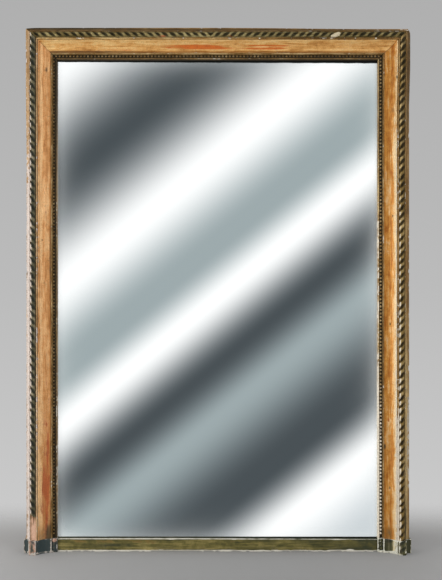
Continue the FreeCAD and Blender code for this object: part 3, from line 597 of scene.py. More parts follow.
@dataclass
class Rope:
    """Twisted rope of two strands in its bed, in four lengths."""

    line: float = 27 * MM
    bed: float = 67 * MM
    breadth: float = 8.9 * MM
    height: float = 11.2 * MM
    pitch: float = ROPE_PITCH
    lead: float = 6.4 * MM
    groove: float = 0.52
    shallow: float = 0.10
    fill: float = 0.92
    sway: float = 0.7
    rubbed: float = 0.35
    spacing: float = 0.0019
    loss: float = 0.1275  # height at which the left rope begins, its foot being lost
    columns: int = 21

    def skin(self, side: Side, turn: float, middle: float, span: tuple[float, float], patina: Patina) -> Skin:
        """The tube of one length.

        At an angle a round the front, from the inner foot to the outer, the phase of the twist
        is pi (run - turn lead (a - pi / 2) - middle) / pitch, the lean that two strands of this
        thickness take, plus sway (noise - 1/2). The gap between two lobes is
        (1 - |sin(phase)| / fill)^0.8 where that is above nothing. Its leaf is the gap times
        sin(a + lean)^1.8, so it fades at the flanks, and it is deepened or filled by noise. The
        section is an ellipse times 1 - groove leaf - shallow gap, swelled by 5% of noise and
        rubbed flat in places on the strands.

        Args:
            side: Side of the frame.
            turn: 1 or -1, the hand of the twist.
            middle: Run where a groove crosses the line.
            span: First and last run before the mitres cut it.
            patina: Its wear, with painted shade and highlight.

        Returns:
            The tube.
        """
        lean, light = {Side.LEFT: (-0.28, -1.0), Side.RIGHT: (0.28, 1.0), Side.TOP: (0.0, -0.6)}[side]
        weather = Weather(71 + list(Side).index(side) + int(turn > 0))
        angle = np.linspace(0, math.pi, self.columns)[None]
        flat = self.line + self.breadth * np.cos(angle)
        start, end = np.full_like(flat, span[0]), np.full_like(flat, span[1])
        if side is Side.TOP:
            start = np.maximum(start, -(HALF_WIDTH - flat))
            end = np.minimum(end, HALF_WIDTH - flat)
        else:
            end = np.minimum(end, TOP - flat)
            if side is Side.LEFT:
                ragged = weather.field(angle * 2.2, 3.0 + 0 * angle) - 0.5
                start = self.loss - 0.0065 * np.cos(angle) + 0.008 * ragged
        share = np.linspace(0, 1, round((span[1] - span[0]) / self.spacing))[:, None]
        run = start + (end - start) * share
        phase = math.pi * (run - turn * self.lead * (angle - math.pi / 2) - middle) / self.pitch
        phase = phase + self.sway * (weather.field(run / 0.035, 8 + 0 * angle, 2) - 0.5)
        strand = np.abs(np.sin(phase))
        gap = np.clip(1 - strand / self.fill, 0, 1) ** 0.8
        uneven = 0.72 + 0.56 * weather.field(run / 0.016, angle * 0.8 + 3)
        leaf = gap * np.clip(np.sin(angle + lean), 0, 1) ** 1.8 * uneven
        size = 1 - self.groove * leaf - self.shallow * gap
        size = size * (1 + 0.05 * (weather.field(run / 0.03, angle) - 0.5))
        rub = weather.bite(run / 0.012, angle * 1.4, 0.62) * strand
        size = size - self.rubbed * rub
        inward = self.line + self.breadth * np.cos(angle) * size
        forward = self.bed + self.height * np.sin(angle) ** 0.85 * size
        forward[:, 0] = forward[:, -1] = self.bed - 0.6 * MM
        limit = HALF_WIDTH - inward if side is Side.TOP else TOP - inward
        run = np.minimum(run, limit)
        if side is Side.TOP:
            run = np.maximum(run, -limit)
        crown = rise(strand, 0.55, 1.0)
        # Painted shade: the grooves are passed as recesses, darkening them on top of their dirt.
        masks = patina.masks(inward, run, 0.8 * crown * np.sin(angle), 3.4 * leaf, rub * 0.6 * MM)
        # Painted highlight: the flank that faces the key light is painted with the pale ground colour, and both flanks
        # lose dirt and shade, so they stand lighter than the middle.
        bright = light * np.cos(angle)
        masks["ground"] += np.clip(2.2 * bright - 0.85, 0, 1) * (0.8 - 0.95 * gap)
        masks["dirt"] -= 0.5 * np.clip(np.abs(1.5 * bright) - 0.4, 0, 1) * (1 - gap)
        girth = np.linspace(0, math.pi * self.breadth, self.columns + 1)
        return Skin(battered(lay_out(side, inward, forward, run)), girth, run, masks)

    def build(self, patinas: dict[Side, Patina], finishes: dict[Side, bpy.types.Material]) -> None:
        """Makes the four lengths, two upright and two that turn their hand over the glass.

        Args:
            patinas: Wear of each side, with painted shade and highlight.
            finishes: Material of each side.
        """
        lengths = (
            ("left", Side.LEFT, 1.0, SIDE_MIDDLE, (self.loss, TOP)),
            ("right", Side.RIGHT, 1.0, SIDE_MIDDLE, (PLINTH, TOP)),
            ("top_left", Side.TOP, -1.0, ROPE_TURN, (-HALF_WIDTH, ROPE_TURN)),
            ("top_right", Side.TOP, 1.0, ROPE_TURN, (ROPE_TURN, HALF_WIDTH)),
        )
        for name, side, turn, middle, span in lengths:
            piece = self.skin(side, turn, middle, span, patinas[side]).piece(f"twisted_rope_{name}", finishes[side])
            stand_for(piece, f"rope_{name}", "rope_gilding")


@dataclass
class PearlString:
    """Strings of small pearls in the channel of the inner moulding."""

    line: float = 89.8 * MM
    bed: float = 38 * MM
    radius: float = 4.4 * MM
    height: float = 6.4 * MM
    pitch: float = PEARL_PITCH
    sunk: float = 0.5 * MM
    around: int = 9
    rings: int = 4

    def middles(self, side: Side) -> np.ndarray:
        """Where the pearls lie, half a pitch to each side of the middle and on to the ends.

        Args:
            side: Side of the frame.

        Returns:
            Run of each pearl's middle, in order.
        """
        if side is Side.TOP:
            count = int((HALF_WIDTH - self.line) / self.pitch)
            return (np.arange(-count, count) + 0.5) * self.pitch
        first = math.ceil((PLINTH + self.radius - SIDE_MIDDLE) / self.pitch - 0.5)
        last = math.floor((TOP - self.line - SIDE_MIDDLE) / self.pitch - 0.5)
        return SIDE_MIDDLE + (np.arange(first, last + 1) + 0.5) * self.pitch

    def build(self, side: Side, patina: Patina, finish: bpy.types.Material) -> None:
        """One string: a dome for each pearl, whose ring k of n stands at an angle of 90 k / n degrees.

        A point of a dome is cos(angle) radius from its middle and sin(angle) height above the
        bed. The crown and the sunk foot are closed by fans of triangles. Some pearls are
        smaller or rubbed flatter. Each pearl carries painted shade towards its foot and on the side that faces away
        from the light.

        Args:
            side: Side of the frame.
            patina: Its wear, with painted shade and highlight.
            finish: Its material.
        """
        rng = np.random.default_rng(40 + list(Side).index(side))
        middles = self.middles(side)
        many = len(middles)
        radius = (self.radius * (1 - 0.10 * rng.random(many)))[:, None, None]
        flatness = 1 - 0.22 * rng.random(many) ** 3
        lift = np.linspace(0, math.pi / 2, self.rings + 1)[:-1][None, :, None]
        turn = np.linspace(0, 2 * math.pi, self.around, endpoint=False)[None, None]
        inward = self.line + radius * np.cos(lift) * np.cos(turn)
        run = middles[:, None, None] + radius * np.cos(lift) * np.sin(turn)
        forward = self.bed + self.height * flatness[:, None, None] * np.sin(lift) + 0 * turn
        forward[:, 0] -= self.sunk
        body = [array.reshape(many, -1) for array in np.broadcast_arrays(inward, run, forward)]
        line = np.full((many, 1), self.line)
        crown = (line, middles[:, None], (self.bed + self.height * flatness)[:, None])
        foot = (line, middles[:, None], np.full((many, 1), self.bed - self.sunk))
        inward, run, forward = (np.concatenate(parts, 1) for parts in zip(body, crown, foot))
        points = settle(lay_out(side, inward, forward, run)).reshape(-1, 3)
        tip, base = self.around * self.rings, self.around * self.rings + 1
        here = np.arange(self.around)
        following = (here + 1) % self.around
        rows = np.arange(self.rings - 1)[:, None] * self.around
        walls = np.stack([rows + here, rows + following, rows + self.around + following,
                          rows + self.around + here], -1).reshape(-1, 4)
        last = (self.rings - 1) * self.around
        fans = np.concatenate([np.stack([last + here, last + following, np.full(self.around, tip)], -1),
                               np.stack([following, here, np.full(self.around, base)], -1)])
        if side is not Side.LEFT:
            walls, fans = walls[:, ::-1], fans[:, ::-1]
        step = (np.arange(many) * (base + 1))[:, None, None]
        quads, triangles = (walls[None] + step).reshape(-1, 4), (fans[None] + step).reshape(-1, 3)
        place, far = run.ravel(), inward.ravel()
        order = np.concatenate([quads.ravel(), triangles.ravel()])
        share = rise(forward, self.bed, self.bed + self.height).ravel()
        # Painted shade towards each pearl's foot, passed as a recess, and a lighter crown.
        masks = patina.masks(far, place, 0.5 * share, 1.6 * (1 - share) ** 2, 0 * share)
        masks["tone"] += np.repeat(0.3 * (rng.random(many) - 0.5), base + 1)
        # Painted shade on the side of each pearl that faces away from the key light.
        away = {Side.LEFT: 1.0, Side.RIGHT: -1.0, Side.TOP: 0.4}[side]
        masks["dirt"] += 0.55 * away * (far - self.line) / self.radius
        piece = mesh_piece(f"pearl_string_{side.value}", points, quads.tolist() + triangles.tolist(), finish,
                           np.stack([far[order], place[order]], -1), masks)
        stand_for(piece, f"pearls_{side.value}", "dark_gilding")


@dataclass
class PlinthBlock:
    """End block that repeats the outline of the mouldings above it, with their rope and pearls in low relief."""

    corners: Corners
    patinas: dict[Side, Patina]
    spacing: float = 0.0016
    ease: float = 0.7 * MM
    rounding: float = 1.6 * MM
    deepest: float = 2.6 * MM
    roll: float = 27 * MM
    half_roll: float = 11.6 * MM
    lead: float = 7.8 * MM
    groove: float = 2.6 * MM
    pearl_line: float = 89 * MM
    half_pearl: float = 4.8 * MM
    pearl: float = 2.0 * MM

    def relief(self, inward: np.ndarray, forward: np.ndarray, run: np.ndarray) -> tuple[np.ndarray, np.ndarray]:
        """Twist on the roll and pearls in the channel.

        With s from -1 to 1 across the roll, the phase of the twist is pi (run + lead arcsin(s)
        - middle) / pitch, and a groove is (1 - |sin(phase)| / 0.85) sqrt(1 - s^2) where that is
        above nothing. A pearl is sqrt(1 - a^2 - b^2), where a and b are the distances from its
        middle along and across, in half-lengths.

        Args:
            inward: Distance from the outer edge.
            forward: Distance from the wall side.
            run: Height.

        Returns:
            Shares of a groove and of a pearl.
        """
        across = np.clip((inward - self.roll) / self.half_roll, -1, 1)
        front = (forward > 0.074) & (np.abs(across) < 1)
        phase = math.pi * (run + self.lead * np.arcsin(across) - SIDE_MIDDLE) / ROPE_PITCH
        groove = np.clip(1 - np.abs(np.sin(phase)) / 0.85, 0, 1) * np.sqrt(1 - across**2) * front
        along = 2.3 * (((run - SIDE_MIDDLE) / PEARL_PITCH + 1) % 1 - 0.5)
        beside = (inward - self.pearl_line) / self.half_pearl
        channel = (np.abs(beside) < 1.125) & (forward > 0.046) & (forward < 0.0475)
        return groove, np.sqrt(np.clip(1 - along**2 - beside**2, 0, 1)) * channel

    def build(self, side: Side, finish: bpy.types.Material) -> None:
        """The section carried up the block, eased and chipped at its foot and its top edge.

        A ring at a height h draws in by ease (1 - h / rounding)^2 near each end, and by a chip
        depth there that is a noise above its threshold, fading over 7 mm from the foot and
        4 mm from the top. Along the foot the white gesso shows in a ragged strip.

        Args:
            side: Left or right.
            finish: Its material.
        """
        section = outline(self.corners, 1.8)
        weather = Weather(90 + list(Side).index(side))
        ends = np.array((0.0, 0.4, 0.9, 1.6)) * MM
        run = np.concatenate([ends, np.arange(0.0032, PLINTH - 0.0030, self.spacing), PLINTH - ends[::-1]])[:, None]
        inward, forward = section.inward[None], section.forward[None]
        near = np.minimum(run, PLINTH - run)
        ease = self.ease * rise(near, self.rounding, 0) ** 2
        place = inward / 0.006 + forward / 0.006
        foot = weather.bite(place * 0.9, 2 + 0 * place, 0.47, 2) * 17 * MM
        top = weather.bite(place * 0.8 + 30, 5 + 0 * place, 0.60, 2) * 9 * MM
        loss = foot * rise(run, 0.007, 0) ** 1.5 + top * rise(PLINTH - run, 0.004, 0) ** 1.5
        edge = section.arris * weather.bite(run / 0.006, place, 0.58, 2) * 7 * MM
        loss = (loss * (0.4 + 0.6 * section.arris) + edge) * (forward > 0.036)
        ripple = (weather.field(run / 0.012, place * 0.5) - 0.5) * 0.5 * MM * (forward > 0.03)
        groove, pearl = self.relief(inward, forward, run)
        move = ripple - ease - np.minimum(loss, self.deepest) + self.pearl * pearl - self.groove * groove
        points = settle(lay_out(side, inward + section.out_inward * move, forward + section.out_forward * move, run))
        masks = self.patinas[side].masks(inward, run, section.arris, section.recess, loss)
        bitten = weather.field(place * 0.9, 2 + 0 * place, 2) + weather.field(run / 0.004, place, 2) - 0.5
        right = side is Side.RIGHT
        pale = 3.4 * rise(inward, 0.041, 0.044) if right else 2.6
        strip, brink = np.clip(1.7 - run / 0.0058, 0, 1), np.clip(1.3 - (PLINTH - run) / 0.002, 0, 1)
        masks["ground"] += pale * strip * np.clip(bitten - 0.22, 0, 1) - 0.5 * groove
        masks["ground"] += (0.9 * brink + 0.35 * section.arris) * bitten
        # Painted shade in the grooves of the twist, strong on the right block, and painted highlight on the pearls,
        # over their dirt.
        masks["dirt"] += groove * (1.7 if right else 0.6) - 0.7 * pearl
        masks["dirt"] -= np.clip(masks["ground"] - 0.5, 0, 0.8)
        piece = Skin(points, section.girth, run[:, 0], masks).piece(f"corner_block_{side.value}", finish)
        stand_for(piece, f"plinth_block_{side.value}", "plinth_paint")


@dataclass
class PlinthRail:
    """Low rail under the glass, between the blocks."""

    patina: Patina
    reach: float = 0.519
    front: float = 37.0
    rebate: float = 28.5
    back: float = 22.0
    seat: float = 31.0
    foot_chip: float = 3.4 * MM
    brow_chip: float = 2.2 * MM
    fall: float = 3.0 * MM
    columns: int = 420

    def build(self, finish: bpy.types.Material) -> None:
        """The section, as height and depth, carried along the rail, with a chipped foot and top edge.

        A chip is a noise above its threshold, at most foot_chip deep within 6 mm of the foot
        and brow_chip within 4 mm of the top. Foot chips lift the foot as well. The top edge
        falls by `fall` towards the right. A pale line, a hill round 3.4 mm below the top, and a
        pale foot show the white gesso, and a dark smudge lies left of the middle.

        Args:
            finish: Its material.
        """
        top = PLINTH / MM
        section = outline(((0, self.back, 0), (0, self.front, 0.8), (top, self.front, 0.7), (top, self.rebate, 0),
                           (self.seat, self.rebate, 0), (self.seat, self.back, 0)), 1.7)
        weather = Weather(55)
        run = np.linspace(-self.reach, self.reach, self.columns)[:, None]
        height, forward = section.inward[None], section.forward[None]
        brow = PLINTH - height
        front = rise(forward, 0.031, 0.035)
        rough = weather.field(run / 0.010, 0 * run, 3) * 0.7 + weather.field(run / 0.09 + 7, 0 * run, 2) * 0.5
        foot = np.clip(rough - 0.54, 0, 1) * 24 * MM
        brink = weather.bite(run / 0.016 + 90, 0 * run, 0.62) * 14 * MM
        low = rise(height, 0.006, 0) ** 1.3 * np.minimum(foot, self.foot_chip) * front
        high = rise(brow, 0.004, 0) ** 1.3 * np.minimum(brink, self.brow_chip) * front
        ripple = (weather.field(run / 0.07, height / 0.02) - 0.5) * 0.5 * MM * front
        under = height <= 0.0004
        lifted = height + 0.35 * low * ~under + 0.7 * low * under * (forward > 0.0355) - 0.4 * high
        lifted = lifted - self.fall * rise(run, -0.1, 0.5) * rise(height, 0.036, 0.045)
        depth = WALL_SIDE - (forward - low - high + ripple)
        points = np.stack(np.broadcast_arrays(run, depth, lifted), -1)
        masks = self.patina.masks(height, run, section.arris, section.recess, low + 0.2 * high)
        worn = 1.15 - 0.5 * rise(run, -0.05, 0.25)
        masks["ground"] += np.clip(1.7 - height / 0.0040, 0, 1) * worn * front
        masks["ground"] += hill(brow, 0.0034, 0.0012) * (worn + 0.45) * front
        masks["tone"] -= 0.05 * rise(run, 0.05, 0.35)
        smudge = hill(run, -0.335, 0.065) * hill(height, 0.021, 0.006)
        # Darker along the top edge and towards the right, with a dark smudge left of the middle.
        masks["dirt"] += np.clip(1.2 - brow / 0.0014, 0, 1) + 0.75 * smudge + 0.25 * rise(run, 0, 0.4)
        masks["dirt"] -= np.clip(masks["ground"] - 0.5, 0, 0.8)
        piece = Skin(points, section.girth, run[:, 0], masks).piece("painted_plinth_rail", finish)
        stand_for(piece, "plinth_rail", "plinth_paint")


# ---------------------------------------------------------------- finishes


class Shader:
    """The node tree of a material or of the world, written as small steps."""

    def __init__(self, owner: bpy.types.Material | bpy.types.World) -> None:
        """Empties the owner's tree and gives it an output.

        Args:
            owner: The material or world.
        """
        owner.use_nodes = True
        self.owner, self.tree = owner, owner.node_tree
        self.tree.nodes.clear()
        self.output = self.tree.nodes.new(f"ShaderNodeOutput{type(owner).__name__}")

    @classmethod
    def named(cls, name: str) -> "Shader":
        """The shader of a new material."""
        return cls(bpy.data.materials.new(name))

    def add(self, kind: str, inputs: dict | None = None, **settings: object) -> bpy.types.Node:
        """A node with its settings, and its inputs set or linked.

        Args:
            kind: Node type, without its first word.
            inputs: Socket name or number, and the value or the socket to link. A colour may lack its alpha.
            **settings: Properties of the node.

        Returns:
            The node.
        """
        node = self.tree.nodes.new("ShaderNode" + kind)
        for key, value in settings.items():
            setattr(node, key, value)
        for key, value in (inputs or {}).items():
            socket = node.inputs[key]
            if isinstance(value, bpy.types.NodeSocket):
                self.tree.links.new(value, socket)
            else:
                socket.default_value = (*value, 1.0) if socket.type == "RGBA" and len(value) == 3 else value
        return node

    def place(self) -> bpy.types.NodeSocket:
        """Object coordinates."""
        return self.add("TexCoord").outputs["Object"]

    def axes(self, vector: bpy.types.NodeSocket) -> list[bpy.types.NodeSocket]:
        """The x, y and z of a vector."""
        return list(self.add("SeparateXYZ", {0: vector}).outputs)

    def grain_map(self) -> bpy.types.NodeSocket:
        """The piece's own map: across and along the moulding, in metres."""
        return self.add("UVMap", uv_map=GRAIN_UV).outputs["UV"]

    def scaled(self, vector: bpy.types.NodeSocket, scale: Sequence[float]) -> bpy.types.NodeSocket:
        """A vector stretched by a Mapping node."""
        return self.add("Mapping", {"Vector": vector, "Scale": scale}).outputs[0]

    def noise(self, vector: bpy.types.NodeSocket, scale: float, detail: float = 4.0, rough: float = 0.55,
              warp: float = 0.0) -> bpy.types.NodeSocket:
        """Noise from 0 to 1."""
        return self.add("TexNoise", {"Vector": vector, "Scale": scale, "Detail": detail, "Roughness": rough,
                                     "Distortion": warp}).outputs[0]

    def mask(self, name: str) -> bpy.types.NodeSocket:
        """One of the piece's masks."""
        return self.add("Attribute", attribute_name=name).outputs["Fac"]

    def math(self, kind: str, *values: bpy.types.NodeSocket | float) -> bpy.types.NodeSocket:
        """One step of arithmetic."""
        return self.add("Math", dict(enumerate(values)), operation=kind).outputs[0]

    def sum(self, base: bpy.types.NodeSocket, *parts: tuple[bpy.types.NodeSocket, float]) -> bpy.types.NodeSocket:
        """The base plus amount times (part - 0.5) for each part."""
        for part, amount in parts:
            base = self.math("ADD", base, self.math("MULTIPLY_ADD", part, amount, -0.5 * amount))
        return base

    def step(self, value: bpy.types.NodeSocket, low: float, high: float, first: float = 0.0,
             last: float = 1.0) -> bpy.types.NodeSocket:
        """A smooth step from first at low to last at high."""
        return self.add("MapRange", {0: value, 1: low, 2: high, 3: first, 4: last},
                        interpolation_type="SMOOTHSTEP").outputs[0]

    def ramp(self, value: bpy.types.NodeSocket, stops: Sequence[tuple[float, Colour]],
             blend: str = "LINEAR") -> bpy.types.NodeSocket:
        """A colour for each value.

        Args:
            value: Place on the ramp.
            stops: Place and colour of each stop, in order.
            blend: How the colours pass from stop to stop.

        Returns:
            The colour.
        """
        node = self.add("ValToRGB", {0: value})
        node.color_ramp.interpolation = blend
        elements = node.color_ramp.elements
        for index, (place, colour) in enumerate(stops):
            element = elements[index] if index < len(elements) else elements.new(place)
            element.position, element.color = place, (*colour, 1.0)
        return node.outputs[0]

    def blend(self, share: bpy.types.NodeSocket | float, first: object, second: object) -> bpy.types.NodeSocket:
        """A mix of two colours."""
        return self.add("Mix", {0: share, 6: first, 7: second}, data_type="RGBA").outputs[2]

    def lerp(self, share: bpy.types.NodeSocket, first: object, second: object) -> bpy.types.NodeSocket:
        """A mix of two numbers."""
        return self.add("Mix", {0: share, 2: first, 3: second}, data_type="FLOAT").outputs[0]

    def bump(self, height: bpy.types.NodeSocket, strength: float, depth: float) -> bpy.types.NodeSocket:
        """A normal from a height."""
        return self.add("Bump", {"Height": height, "Strength": strength, "Distance": depth}).outputs[0]

    def surface(self, **inputs: object) -> bpy.types.NodeSocket:
        """A principled surface with these inputs, named with underscores."""
        return self.add("BsdfPrincipled", {key.replace("_", " "): value for key, value in inputs.items()}).outputs[0]

    def cover(self, share: bpy.types.NodeSocket, under: bpy.types.NodeSocket,
              over: bpy.types.NodeSocket | None = None) -> bpy.types.NodeSocket:
        """A surface or light covered by another one, or thinned out to nothing, by a share."""
        over = over or self.add("BsdfTransparent").outputs[0]
        return self.add("MixShader", {0: share, 1: under, 2: over}).outputs[0]

    def finish(self, shown: bpy.types.NodeSocket) -> bpy.types.Material | bpy.types.World:
        """The owner, which shows this surface or light."""
        self.tree.links.new(shown, self.output.inputs[0])
        return self.owner


@dataclass(frozen=True)
class AgedFinish:
    """Leaf or paint over red clay and white gesso, worn and dirty, with painted shade and highlight, in displayed
    colours.
    """

    name: str
    deep: Shown
    middle: Shown
    pale: Shown
    clay: Shown = (196, 84, 38)
    ground: Shown = (226, 213, 194)
    dirt: Shown = (42, 37, 26)
    metal: float = 0.3
    gloss: float = 0.42
    glint: float = 0.3

    def material(self) -> bpy.types.Material:
        """The masks of a piece, broken up by streaks, blotches and fine grain, choose its layers.

        Returns:
            The new material.
        """
        deep, middle, pale, red, white, dark = (
            shade(*tone) for tone in (self.deep, self.middle, self.pale, self.clay, self.ground, self.dirt))
        shader = Shader.named(self.name)
        place, lengthwise = shader.place(), shader.grain_map()
        streaks = shader.noise(shader.scaled(lengthwise, (420, 16, 1)), 1.0, 5, 0.6, 0.4)
        blotches = shader.noise(place, 62, 6, 0.62)
        grain = shader.noise(place, 520, 3, 0.6)
        crack = shader.add("TexVoronoi", {"Vector": place, "Scale": 135.0}, feature="DISTANCE_TO_EDGE")
        crackle = shader.step(crack.outputs["Distance"], 0.0, 0.05, 1.0, 0.0)
        clouds = shader.noise(shader.scaled(lengthwise, (60, 11, 1)), 1.0, 3, 0.55, 0.6)
        tone = shader.sum(shader.mask("tone"), (streaks, 1.1), (blotches, 0.9), (clouds, 1.3), (grain, 0.35))
        clay = shader.step(shader.sum(shader.mask("clay"), (streaks, 1.4), (blotches, 0.6), (clouds, 1.3)), 0.36, 0.76)
        ground = shader.sum(shader.mask("ground"), (grain, 0.4), (blotches, 0.7), (streaks, 0.3))
        ground = shader.step(ground, 0.46, 0.60)
        dirt = shader.sum(shader.mask("dirt"), (blotches, 0.7), (grain, 0.4), (streaks, 0.5))
        dirt = shader.step(dirt, 0.1, 1.0, 0.0, 0.9)
        redder = shader.blend(blotches, red, tuple(c * 0.72 for c in red))
        chalk = shader.blend(shader.step(grain, 0.3, 0.7), tuple(c * 0.8 for c in white), white)
        colour = shader.ramp(tone, ((0.06, deep), (0.5, middle), (0.94, pale)))
        cracks = shader.math("MULTIPLY", crackle, 0.35)
        # The ground layer also lays painted highlight and the dirt layer painted shade, wherever the masks put them.
        for share, layer in ((clay, redder), (ground, chalk), (cracks, dark), (dirt, dark)):
            colour = shader.blend(share, colour, layer)
        shine = shader.lerp(clay, self.metal, self.metal * 0.3)
        dull = shader.lerp(blotches, self.gloss - 0.08, self.gloss + 0.12)
        for share, roughness in ((ground, 0.85), (dirt, 0.72)):
            shine, dull = shader.lerp(share, shine, 0.0), shader.lerp(share, dull, roughness)
        height = shader.sum(shader.lerp(ground, blotches, 0.0), (grain, 0.5))
        height = shader.lerp(crackle, height, -0.2)
        return shader.finish(shader.surface(
            Base_Color=colour, Metallic=shine, Roughness=dull, Specular_IOR_Level=self.glint,
            Normal=shader.bump(height, 0.35, 0.0006)))


@dataclass(frozen=True)
class WoodFinish:
    """Dry old board with grain, rays and stains."""

    name: str
    grain: Grain
    early: Shown
    late: Shown
    stain: Shown = (58, 42, 28)

    def material(self) -> bpy.types.Material:
        """Rings are noise stretched along the grain and folded into bands by a wave, over fine fibres.

        Returns:
            The new material.
        """
        early, late, stain = shade(*self.early), shade(*self.late), shade(*self.stain)
        shader = Shader.named(self.name)
        place = shader.place()
        sweep = shader.noise(shader.scaled(place, tuple(s * 0.22 for s in self.grain.value)), 1.0, 2, 0.5, 0.8)
        rings = shader.step(shader.math("SINE", shader.math("MULTIPLY", sweep, 46.0)), -0.7, 1.0)
        fibres = shader.noise(shader.scaled(place, self.grain.value), 6.0, 5, 0.65)
        patches = shader.noise(place, 7, 4, 0.6)
        colour = shader.blend(rings, early, late)
        colour = shader.blend(shader.step(fibres, 0.35, 0.75, 0.0, 0.5), colour, stain)
        colour = shader.blend(shader.step(patches, 0.48, 0.8, 0.0, 0.6), colour, stain)
        height = shader.sum(fibres, (rings, 0.3))
        return shader.finish(shader.surface(Base_Color=colour, Roughness=shader.lerp(fibres, 0.7, 0.9),
                                            Normal=shader.bump(height, 0.3, 0.0007)))


@dataclass(frozen=True)
class IronFinish:
    """Hammered iron with rust."""

    name: str

    def material(self) -> bpy.types.Material:
        """Dark scale and orange rust, parted by noise, on a hammered surface.

        Returns:
            The new material.
        """
        shader = Shader.named(self.name)
        place = shader.place()
        rust = shader.step(shader.noise(place, 120, 5, 0.6), 0.45, 0.62)
        blows = shader.noise(place, 230, 2)
        scale = shader.blend(blows, shade(52, 49, 46), shade(84, 80, 76))
        return shader.finish(shader.surface(
            Base_Color=shader.blend(rust, scale, shade(112, 66, 38)), Metallic=shader.lerp(rust, 0.8, 0.1),
            Roughness=shader.lerp(rust, 0.5, 0.85), Normal=shader.bump(blows, 0.4, 0.0006)))


@dataclass(frozen=True)
class FeltFinish:
    """Grey-brown felt."""

    name: str

    def material(self) -> bpy.types.Material:
        """Matted fibres: fine noise in colour and height.

        Returns:
            The new material.
        """
        shader = Shader.named(self.name)
        fibres = shader.noise(shader.place(), 900, 5, 0.7, 1.5)
        colour = shader.blend(fibres, shade(84, 78, 70), shade(130, 122, 110))
        return shader.finish(shader.surface(Base_Color=colour, Roughness=0.95,
                                            Normal=shader.bump(fibres, 0.5, 0.0005)))


@dataclass(frozen=True)
class SilverFinish:
    """Old silvered glass, milky towards its edges, with a dark line of painted shade at its top and foot."""

    name: str
    half: float = 0.5212
    low: float = PLINTH
    high: float = 1.597
    reach: float = 0.026
    film: float = 0.27
    film_right: float = 0.27 * 1.35
    corner: float = 0.8
    corner_reach: float = 0.035
    bare: float = 0.006
    slack: float = 0.004
    foot_bare: float = 0.0012

    def material(self) -> bpy.types.Material:
        """At a distance d from the nearest edge the milky film covers film exp(-d / reach).

        Its strength grows from `film` in the middle of the width to film_right at the right
        edge. At the lower left corner corner exp(-s / corner_reach) is added, where s is the
        distance from the left edge plus the height above the foot. A flat dark surface of painted
        shade, for the shadow of the sight edge and its reflection, covers the glass within
        bare + slack x of the top edge and within foot_bare of the foot, give or take a noise.

        Returns:
            The new material.
        """
        shader = Shader.named(self.name)
        math = shader.math
        x, _, z = shader.axes(shader.place())
        beside = math("SUBTRACT", self.half, math("ABSOLUTE", x))
        under, over = math("SUBTRACT", z, self.low), math("SUBTRACT", self.high, z)
        edge = math("MINIMUM", beside, math("MINIMUM", under, over))
        film = math("MULTIPLY", math("EXPONENT", math("MULTIPLY", edge, -1 / self.reach)),
                    shader.step(x, 0.0, 0.5, self.film, self.film_right))
        beyond = math("ADD", math("ADD", x, self.half), under)
        haze = math("EXPONENT", math("MULTIPLY", beyond, -1 / self.corner_reach))
        film = math("MULTIPLY_ADD", haze, self.corner, film)
        top_line = math("DIVIDE", over, math("MULTIPLY_ADD", x, self.slack, self.bare))
        nearest = math("MINIMUM", top_line, math("DIVIDE", under, self.foot_bare))
        bare = shader.step(shader.sum(nearest, (shader.noise(shader.place(), 40, 3), 0.5)), 0.85, 1.2, 1.0, 0.0)
        cloud = shader.noise(shader.place(), 9, 3)
        silver = shader.surface(Base_Color=(0.95, 0.965, 0.965), Metallic=1.0, Roughness=0.015)
        milky = shader.surface(Base_Color=shader.blend(cloud, shade(236, 242, 243), shade(246, 250, 250)),
                               Roughness=0.5)
        # Painted shade: a flat near-black surface for the shadow of the sight edge and its reflection at the top and
        # foot of the glass.
        dark = shader.surface(Base_Color=shade(11, 14, 11), Roughness=0.7, Specular_IOR_Level=0.1)
        return shader.finish(shader.cover(bare, shader.cover(film, silver, milky), dark))


# ---------------------------------------------------------------- the object


OUTER_CORNERS: Corners = (
    (0, 44, 0), (0, 51, 1.0), (4, 51, 0.5), *hollow((4.6, 51.3), (15.3, 69.6), 17, (0, 70), 14)[1:-1],
    (15.5, 70, 0.8), (17, 70, 0.7), (17, 67, 0), (37, 67, 0), (37, 71, 0.8), (42, 71, 0.9), (42, 67.5, 0),
    (43.5, 67.5, 0), (43.5, 44, 0))
COVE_CORNERS: Corners = (
    (43.5, 44, 0), (43.5, 69.5, 0.6), (45, 69.5, 0.6), *hollow((45, 69.5), (80, 49), 39.5, (80, 69.5), 26)[1:],
    (80, 44, 0))
BEAD_CORNERS: Corners = (
    (80, 22, 0), (80, 47, 0.8), (84.2, 46.6, 1.4), (85.6, 38, 0.8), (94.5, 38, 0.5), (94.5, 39.5, 0), (96, 41, 1.0),
    (99.5, 41, 1.0), (101, 39.5, 0), (101, 28.5, 0), (86, 28.5, 0), (86, 22, 0))
BLOCK_CORNERS: Corners = (
    (-6, 22, 0), (-6, 54, 1.6), (-0.5, 54, 0.6), *hollow((-0.5, 54), (14, 78), 23, (-6, 81), 12)[1:], (15.5, 81, 3.4),
    (38.5, 81, 3.4), (38.5, 74, 0.5), (43.5, 74, 0.9), *hollow((43.5, 74), (80, 52), 39.5, (80, 81), 18)[1:],
    (83.5, 52, 1.0), (83.5, 47, 0.5), (94.5, 47, 0.8), (94.5, 44, 0.4), (101, 44, 1.2), (101, 22, 0))
